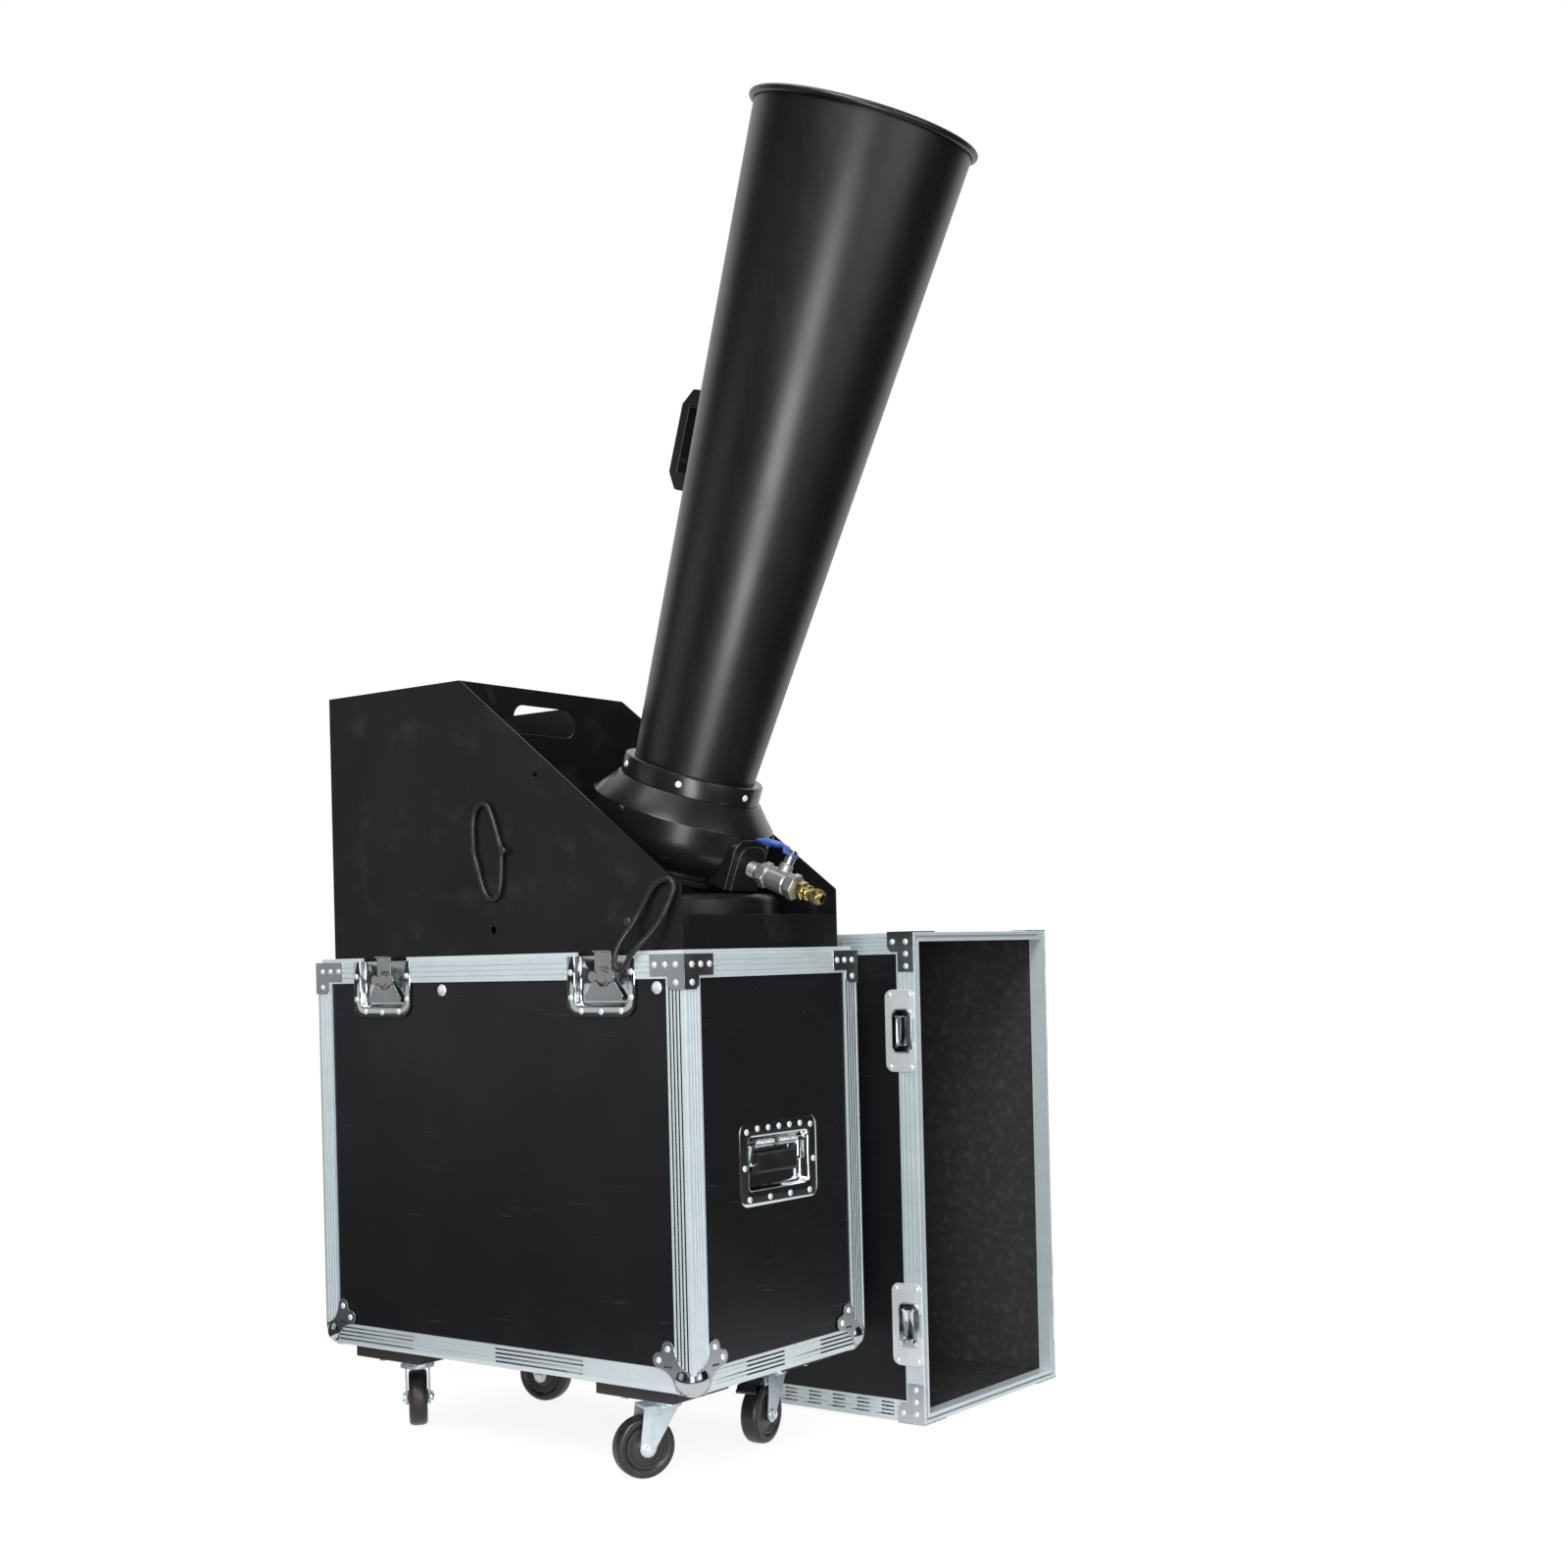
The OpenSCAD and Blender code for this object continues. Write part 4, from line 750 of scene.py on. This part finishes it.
# Handles
dishes = Shape()
for s in (1, -1):
    pressed(dishes, [(81, 53, -53, 13.5, 0.5), (81, 53, -53, 13.5, 0.9), (80.2, 52.2, -52.2, 12.7, 1.3),
        (65.5, 36.5, -36.5, 9, 1.3), (63.8, 34.8, -34.8, 8, 0.7), (62.8, 33.8, -33.8, 7.5, -0.8),
        (60.8, 31.8, -31.8, 7, -10.5), (58.6, 29.6, -29.6, 6, -13), (55.5, 26.5, -26.5, 5, -14)],
        handle_frame(s), True)
sheet(piece("handle_pans", dishes, CHROME, "case", "steel_corner", ("handle_dishes",), sharp=50), 0.8)
COIL_R, WIRE_R = 5, 1
for end, s in (("front", 1), ("back", -1)):
    soften(f"handle_bow_{end}", CHROME, 0.0)
    soften(f"handle_grip_{end}", GRIP, 0.6)
    coil = Shape(handle_frame(s))
    for x0, x1 in ((-43, -4), (6, 43)):
        turns = 9
        steps = turns * 20
        route = [(x0 + (x1 - x0) * t / steps, -6.5 + COIL_R * math.cos(2 * math.pi * turns * t / steps),
            24 + COIL_R * math.sin(2 * math.pi * turns * t / steps)) for t in range(steps + 1)]
        coil.rope(route, WIRE_R, (1, 0, 0), sides=8, closed=False)
    piece(f"handle_spring_{end}", coil, BRIGHT, f"handle_{end}", "steel_corner", sharp=60)

# Castors
TRAIL, WHEEL_R = 28, 40
BOLT_X, BOLT_Y, BOLT_Z = 38, 28, 104.4
# Half profiles of tyre and hub, as (radius, distance from the wheel's middle)
TYRE = [(27, -9.6), (28.5, -11.6), (31, -12.6), (33, -13), (35.5, -12.7), (37.6, -11.6), (39, -9.6),
    (39.8, -6.5), (WHEEL_R, -3)]
TYRE += [(r, -z) for r, z in reversed(TYRE)]
FACE = [(4.2, 14.5), (9.2, 14.5), (10, 13.7), (10, 10.8), (12.5, 9.8), (18.5, 9.2), (19.3, 10.2), (21, 10.4),
    (21.8, 9.4), (23.6, 9.2), (24.4, 10.6), (27, 10.6)]
for i in range(4):
    wheel = castor_frame(i) @ move(TRAIL, 0, WHEEL_R) @ turn(90, "X")
    tyre = Shape(wheel)
    tyre.lathe(TYRE, sides=128)
    piece(f"tyre_{i + 1}", tyre, RUBBER, f"wheel_{i + 1}", "rubber", (f"castor_tyre_{i + 1}",))
    hub = Shape(wheel)
    hub.lathe(FACE + [(r, -z) for r, z in reversed(FACE)], sides=96)
    piece(f"hub_{i + 1}", hub, HUB, f"wheel_{i + 1}", "black_hub", (f"castor_hub_{i + 1}",), sharp=28)
    soften(f"castor_fork_{i + 1}", ZINC, 0.4)
    nuts = Shape(wheel)
    for s in (1, -1):
        side = turn(0 if s > 0 else 180, "X")
        nuts.solid_lathe([(8.2, 17.5), (8.2, 18.6), (7.9, 18.9), (3, 18.9)], side, 32)
        nuts.solid_lathe([(6.9, 18.8), (6.9, 21.2), (6.3, 21.8), (5, 21.8), (4.8, 21), (4, 21), (3.9, 22.4),
            (3, 22.9)], side, 6)
    piece(f"axle_nuts_{i + 1}", nuts, BRIGHT, f"castor_{i + 1}", "zinc")
soften("castor_plates", ZINC, 0.5)
for i in (3, 4):
    soften(f"brake_pedal_{i}", HUB, 0.8)
bolts = Shape(FLOOR)
for x, y, _ in CASTORS:
    for sx, sy in SIDES:
        head = move(x + BOLT_X * sx, y + BOLT_Y * sy, BOLT_Z) @ turn(180, "X") @ turn(17 * sx, "Z")
        bolts.solid_lathe([(7.6, 0), (7.6, 1.1), (4, 1.1)], head, 28)
        bolts.solid_lathe([(6.4, 1), (6.4, 5.2), (5.7, 5.8), (3, 5.8)], head, 6)
piece("castor_bolts", bolts, BRIGHT, "case", "zinc")

# Hopper
for name in ("hopper_right_cheek", "hopper_left_cheek", "hopper_ends", "hopper_deck", "bin_front",
        "chute_floor"):
    soften(name, SHEET, 0.5)

# Loops of coated wire rope on the right cheek
LOOP_BACK = [(-15, 206), (-27, 200), (-33, 185), (-34, 165), (-33, 143), (-26, 120), (-18, 97), (-10, 83),
    (-1, 78), (8, 81), (14, 91), (17, 110), (18, 142), (12, 163), (4, 185), (-4, 201)]
LOOP_FRONT = [(312, 91, 14), (300, 92, 14), (284, 84, 13.5), (268, 62, 12), (254, 40, 8), (244, 24, 2),
    (237, 8, -4.5), (235, -6, -7.5), (238, -15, -8), (245, -19, -8), (253, -13, -7.5), (262, 0, -6.5),
    (272, 12, -2.5), (283, 24, 3.5), (297, 42, 9.5), (308, 62, 12.5), (316, 80, 14)]
ROPE_R, SLEEVE_R = 3.7, 4.2


def sleeve(*spots):
    """Rope radius with short crimped sleeves at places along the loop."""
    return lambda t: SLEEVE_R if any(abs(t - s) < 0.022 for s in spots) else ROPE_R


ropes = Shape(RIM)
for route, crimps in (([(x, -CHEEK_Y - 3.3, z) for x, z in LOOP_BACK], (0.3, 0.78)),
        ([(x, y - CASE_W / 2, z) for x, z, y in LOOP_FRONT], (0.24, 0.86))):
    ropes.rope(smooth_loop(route, 8), sleeve(*crimps), (0, 1, 0), sides=14)
for x, z, reach in ((24, 142, 7), (246, 42, 12)):
    ropes.solid_lathe([(2.5, 0), (2.5, reach), (5.5, reach), (5.5, reach + 0.8), (4.2, reach + 2),
        (1.5, reach + 2)], move(x, -CHEEK_Y, z) @ turn(90, "X"), 32)
piece("rope_loops", ropes, ROPE, "case", "coated_rope", ("lifting_loops",), sharp=40)

# Neck, amplifier and collar
soften("inlet_neck", SHEET, 0.6)
soften("amplifier_insert", SPUN, 0.6)
bowl = [(94 + 29 * math.sin(math.radians(a)), 50 - 42 * math.cos(math.radians(a))) for a in range(0, 91, 5)]
body = Shape(AMP)
body.lathe([(88, 0), (97, 0), (98, 0.4), (98.8, 1.4), (98.8, 2.2), (97.6, 3.2), (97.6, 4.8), (98.8, 5.8),
    (98.8, 6.6), (98, 7.6), (97, 8)] + bowl + [(123, 73.2), (122.4, 74.3), (110, 88.2),
    (98.5, 102.4), (97.4, 103.6), (96.4, 104), (76, 104), (76, 67), (88, 67)], sides=192)
UP_Y = axes((0, 1, 0), (0, 0, 1), (1, 0, 0))


def arch(half, top, foot=1, r=20):
    left = [(-half + r - r * math.cos(math.radians(a)), top - r + r * math.sin(math.radians(a)))
        for a in range(0, 91, 9)]
    return [(-half, foot)] + left + [(-y, z) for y, z in reversed(left)] + [(half, foot)]


piece("amplifier", body, SPUN, nodes["amplifier_body"]["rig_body"], "black_alloy", ("amplifier_body",),
    sharp=24)
boss = Shape(AMP)
boss.prism(arch(35, 70), 33, move(95, 0, 0) @ UP_Y)
boss.prism(arch(28, 63), 38, move(95, 0, 0) @ UP_Y)
piece("air_boss", boss, SPUN, nodes["amplifier_body"]["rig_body"], "black_alloy", bevel=2.2, steps=3)
collar = Shape(AMP)
collar.lathe([(76, 104), (93.4, 104), (94, 104.6), (94, 127.8), (93.6, 129), (92.4, 129.8), (91, 130),
    (82.2, 130), (80.4, 107), (76, 106)], sides=192)
piece("collar", collar, SPUN, nodes["tube_collar"]["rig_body"], "black_alloy", ("tube_collar",), sharp=28)

# Tube
DENT, DENT_R, DENT_DEPTH = Vector((103, -86, 800)), 9, 0.9
TUBE_L, TUBE_R, MOUTH_R, BEAD_R = 850, 80, 140, 4.5


def dented(point):
    """Moves points near the dent towards the tube's axis."""
    gap = (point - DENT).length
    if gap > 30:
        return point
    outward = Vector((point.x, point.y, 0)).normalized()
    return point - outward * DENT_DEPTH * math.exp(-(gap / DENT_R) ** 2)


tube = Shape(TUBE)
rings = [0, 200, 434, 600, 700] + list(range(760, 845, 4))
outside = [(TUBE_R + z * (MOUTH_R - TUBE_R) / TUBE_L, z) for z in rings]
bead = [(142.25 + BEAD_R * math.cos(math.radians(a)), TUBE_L + BEAD_R * math.sin(math.radians(a)))
    for a in range(-125, 181, 15)]
tube.lathe([(78, 0)] + outside + bead + [(137.7, 845), (108, 425)], sides=256, shift=dented)
piece("blast_tube_dressed", tube, TUBE_PAINT, nodes["blast_tube"]["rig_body"], "black_alloy", ("blast_tube",),
    sharp=28)
soften("tube_handle", SPUN, 2.4, steps=4)

# Ball valve and coupling, with (radius, distance from the amplifier's axis) in their profiles
STEM_X, LEVER_Z, LEVER_TURN = 184, 34.5, 12
AXIS = VALVE @ ALONG_X
thread = [(10.8 if k % 2 else 9.7, 133.5 + 0.8 * k) for k in range(16)]
valve = Shape(AXIS)
valve.lathe([(8, 119), (9.5, 119), (9.5, 133)] + thread + [(10.4, 146.6), (10.8, 148), (13.6, 152.5),
    (15, 154), (15.4, 155), (15.4, 165.5), (14.6, 166.2), (14.2, 167.5), (14.2, 170), (15.5, 172),
    (15.5, 196), (14.2, 198), (14.2, 200.5), (14.6, 201.8), (15.4, 202.5), (15.4, 212), (14.6, 213.4),
    (12.5, 214), (8, 214)], sides=96)
for x in (155, 203):
    valve.lathe([(13, x), (17, x), (17.5, x + 0.8), (17.5, x + 9.2), (17, x + 10), (13, x + 10)], sides=6)
valve.solid_lathe([(9.2, 8), (9.2, 20), (8.6, 20.6), (8.6, 21.4), (9, 22), (8.4, 23.3), (4.2, 23.4)],
    turn(-90, "Y") @ move(STEM_X, 0, 0), 40)
piece("valve_dressed", valve, NICKEL, nodes["valve_body"]["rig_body"], "zinc", ("valve_body",), sharp=28)
soften("valve_stem", BRIGHT, 0.4)
soften("valve_lever", VINYL, 0.9, steps=3)
LEVER = VALVE @ move(STEM_X, 0, LEVER_Z) @ turn(LEVER_TURN, "Z")
dip = Shape(LEVER)
PAD_HALF_W, PAD_HALF_H = 10.6, 4.7
stations, around = 20, 32
pad = []
# The grip's sections swell from the lever's tip to its middle and taper towards the stem
for i in range(stations + 1):
    t = 0.02 + 0.96 * i / stations
    full = (4 * t * (1 - t)) ** 0.35
    x, z = -53.6 + 41 * t, 2.4 + 7.2 * t
    for k in range(around):
        a = 2 * math.pi * k / around
        pad.append((x, PAD_HALF_W * full * math.cos(a), z + PAD_HALF_H * full * math.sin(a)))
dip.rings(pad, stations + 1, around)
piece("lever_grip", dip, VINYL, nodes["valve_lever"]["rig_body"], slot_of["valve_lever"], sharp=70)
coupling = Shape(AXIS)
coupling.lathe([(4.5, 214), (10.4, 214), (12, 215), (12, 225), (10.4, 226), (4.5, 226)], sides=6)
coupling.lathe([(4.5, 226), (7.5, 226), (7.5, 229.6), (9.4, 230.2), (10, 231), (10, 233.4), (9.4, 234.2),
    (7.5, 234.8), (7.5, 241.6), (9.3, 242), (9.6, 242.6), (9.6, 251.4), (9.2, 252), (7.5, 252.3),
    (7.3, 255.4), (6.6, 256), (4.6, 256)], sides=64)
for k in range(36):
    coupling.prism([(9.3, -0.45), (10, 0), (9.3, 0.45)], 9.4, turn(10 * k, "Z") @ move(0, 0, 242.3))
piece("coupling_dressed", coupling, BRASS, nodes["hose_coupling"]["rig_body"], "brass", ("hose_coupling",),
    sharp=28)

# Lid
lid_trim = Shape(LID_SHELL)
shell_trim(lid_trim, Matrix(), LID_D, groove)
piece("lid_extrusions", lid_trim, EXTRUSION, "lid", "extrusion", ("lid_angles",), sharp=25)
dress(LAMINATE, "lid_panels")
panels = nodes["lid_panels"].data
panels.materials.append(LINING)
lid_low, lid_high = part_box("lid_panels")
middle = (lid_low + lid_high) / 2
for face in panels.polygons:
    # A face that looks at the lid's middle is lined
    spot = Vector(face.center) - middle
    face.material_index = 1 if spot.dot(Vector(face.normal)) < -0.02 else 0
soften("lid_keepers", RIVET, 0.5)
reliefs = Shape()
for sx, sy in SIDES:
    at = LID @ move(LATCH_X * sx, CASE_W / 2 * sy, KEEPER_Z) @ turn(0 if sy > 0 else 180, "Z")
    pressed(reliefs, [(31, 13, -21, 8, 1.9), (29.4, 11.4, -19.4, 7, 4), (21, 5, -13, 4, 4),
        (19.6, 3.6, -11.6, 3.4, 2)], at, True)
sheet(piece("keeper_frames", reliefs, CHROME, "lid", slot_of["lid_keepers"], sharp=50), 0.8)
corner_pieces("lid", LID_SHELL, LID_D, "lid", ("lid_balls", "lid_plates"), True)


# Studio
def background_rays(tree):
    """1 for rays that show the background, by reflection and through glass too, and 0 for light."""
    path = tree.nodes.new("ShaderNodeLightPath")
    value = path.outputs["Is Camera Ray"]
    for kind in ("Is Glossy Ray", "Is Transmission Ray"):
        either = tree.nodes.new("ShaderNodeMath")
        either.operation = "MAXIMUM"
        tree.links.new(value, either.inputs[0])
        tree.links.new(path.outputs[kind], either.inputs[1])
        value = either.outputs[0]
    return value


def floor():
    data = bpy.data.meshes.new("studio_floor")
    data.from_pydata([(-9, -9, 0), (9, -9, 0), (9, 9, 0), (-9, 9, 0)], [], [(0, 1, 2, 3)])
    made = bpy.data.objects.new("studio_floor", data)
    bpy.context.scene.collection.objects.link(made)
    mat = bpy.data.materials.new("studio_white")
    mat.use_nodes = True
    tree = mat.node_tree
    tree.nodes.clear()
    out = tree.nodes.new("ShaderNodeOutputMaterial")
    both = tree.nodes.new("ShaderNodeAddShader")
    matt = tree.nodes.new("ShaderNodeBsdfDiffuse")
    matt.inputs["Color"].default_value = (0.2, 0.2, 0.2, 1)
    glow = tree.nodes.new("ShaderNodeEmission")
    level = tree.nodes.new("ShaderNodeMath")
    level.operation = "MULTIPLY"
    level.inputs[1].default_value = 0.88
    tree.links.new(background_rays(tree), level.inputs[0])
    tree.links.new(level.outputs[0], glow.inputs["Strength"])
    tree.links.new(matt.outputs[0], both.inputs[0])
    tree.links.new(glow.outputs[0], both.inputs[1])
    tree.links.new(both.outputs[0], out.inputs["Surface"])
    data.materials.append(mat)


def dark_flats(radius, height, start, end):
    """Black flats round the front and sides, seen only in reflections, as a studio uses for dark gloss."""
    parts = 24
    spots = [math.radians(start + (end - start) * k / parts) for k in range(parts + 1)]
    near, lift = 0.85, 0.004
    points = [(r * math.cos(a), r * math.sin(a), z) for a in spots
        for r, z in ((near, lift), (radius, lift), (radius, height), (0.1, height))]
    data = bpy.data.meshes.new("dark_flats")
    data.from_pydata(points, [], [(4 * k + j, 4 * k + j + 4, 4 * k + j + 5, 4 * k + j + 1)
        for k in range(parts) for j in range(3)])
    made = bpy.data.objects.new("dark_flats", data)
    bpy.context.scene.collection.objects.link(made)
    mat = bpy.data.materials.new("dark_cloth")
    mat.use_nodes = True
    cloth = mat.node_tree.nodes["Principled BSDF"]
    cloth.inputs["Base Color"].default_value = (0.02, 0.02, 0.02, 1)
    cloth.inputs["Roughness"].default_value = 1
    data.materials.append(mat)
    made.visible_camera = False
    made.visible_diffuse = False
    made.visible_transmission = False
    made.visible_shadow = False


def world():
    made = bpy.data.worlds.new("studio")
    bpy.context.scene.world = made
    made.use_nodes = True
    tree = made.node_tree
    back = tree.nodes["Background"]
    back.inputs["Color"].default_value = (1, 1, 1, 1)
    level = tree.nodes.new("ShaderNodeMapRange")
    level.inputs["To Min"].default_value = 0.6
    level.inputs["To Max"].default_value = 1.0
    tree.links.new(background_rays(tree), level.inputs["Value"])
    tree.links.new(level.outputs[0], back.inputs["Strength"])


def softbox(name, spot, aim, width, height, power):
    data = bpy.data.lights.new(name, "AREA")
    data.shape = "RECTANGLE"
    data.size = width
    data.size_y = height
    data.energy = power
    made = bpy.data.objects.new(name, data)
    made.location = spot
    made.rotation_euler = (Vector(aim) - Vector(spot)).to_track_quat("-Z", "Y").to_euler()
    made.visible_camera = False
    bpy.context.scene.collection.objects.link(made)


floor()
world()
dark_flats(4.4, 5.2, -170, 72)
softbox("left_box", (-2.2, -2.9, 1.1), (-0.2, -0.3, 0.7), 2.2, 2.0, 9)
softbox("right_box", (3.4, -0.6, 1.5), (0.3, 0, 0.7), 2.2, 2.6, 38)
softbox("front_box", (1.35, -1.75, 0.45), (0.25, 0, 1.1), 0.55, 1.3, 27)
softbox("key_box", (1.6, -3.0, 3.2), (0, 0, 0.6), 1.6, 1.6, 110)
softbox("top_box", (0.2, -0.4, 4.2), (0, 0, 0.5), 2.6, 2.6, 60)

# Camera, from a fit to the edges of the case and of the hopper
VIEW_AZIMUTH, VIEW_ROLL = math.radians(37.26), math.radians(-1.39)
FOCAL_PX, IMAGE_PX, CENTRE_PX, SENSOR = 2004, 1600, 975.1, 36
right = Vector((math.cos(VIEW_AZIMUTH), math.sin(VIEW_AZIMUTH), 0))
up = Vector((0, 0, 1))
back = Vector((math.sin(VIEW_AZIMUTH), -math.cos(VIEW_AZIMUTH), 0))
camera = bpy.data.objects.new("camera", bpy.data.cameras.new("camera"))
camera.data.sensor_width = SENSOR
camera.data.lens = FOCAL_PX / IMAGE_PX * SENSOR
camera.data.shift_y = (CENTRE_PX - IMAGE_PX / 2) / IMAGE_PX
camera.matrix_world = FLOOR @ move(1884.8, -2008.9, 659.7) @ axes(
    math.cos(VIEW_ROLL) * right + math.sin(VIEW_ROLL) * up,
    math.cos(VIEW_ROLL) * up - math.sin(VIEW_ROLL) * right, back)
bpy.context.scene.collection.objects.link(camera)
bpy.context.scene.camera = camera
bpy.context.scene.view_settings.view_transform = "Standard"
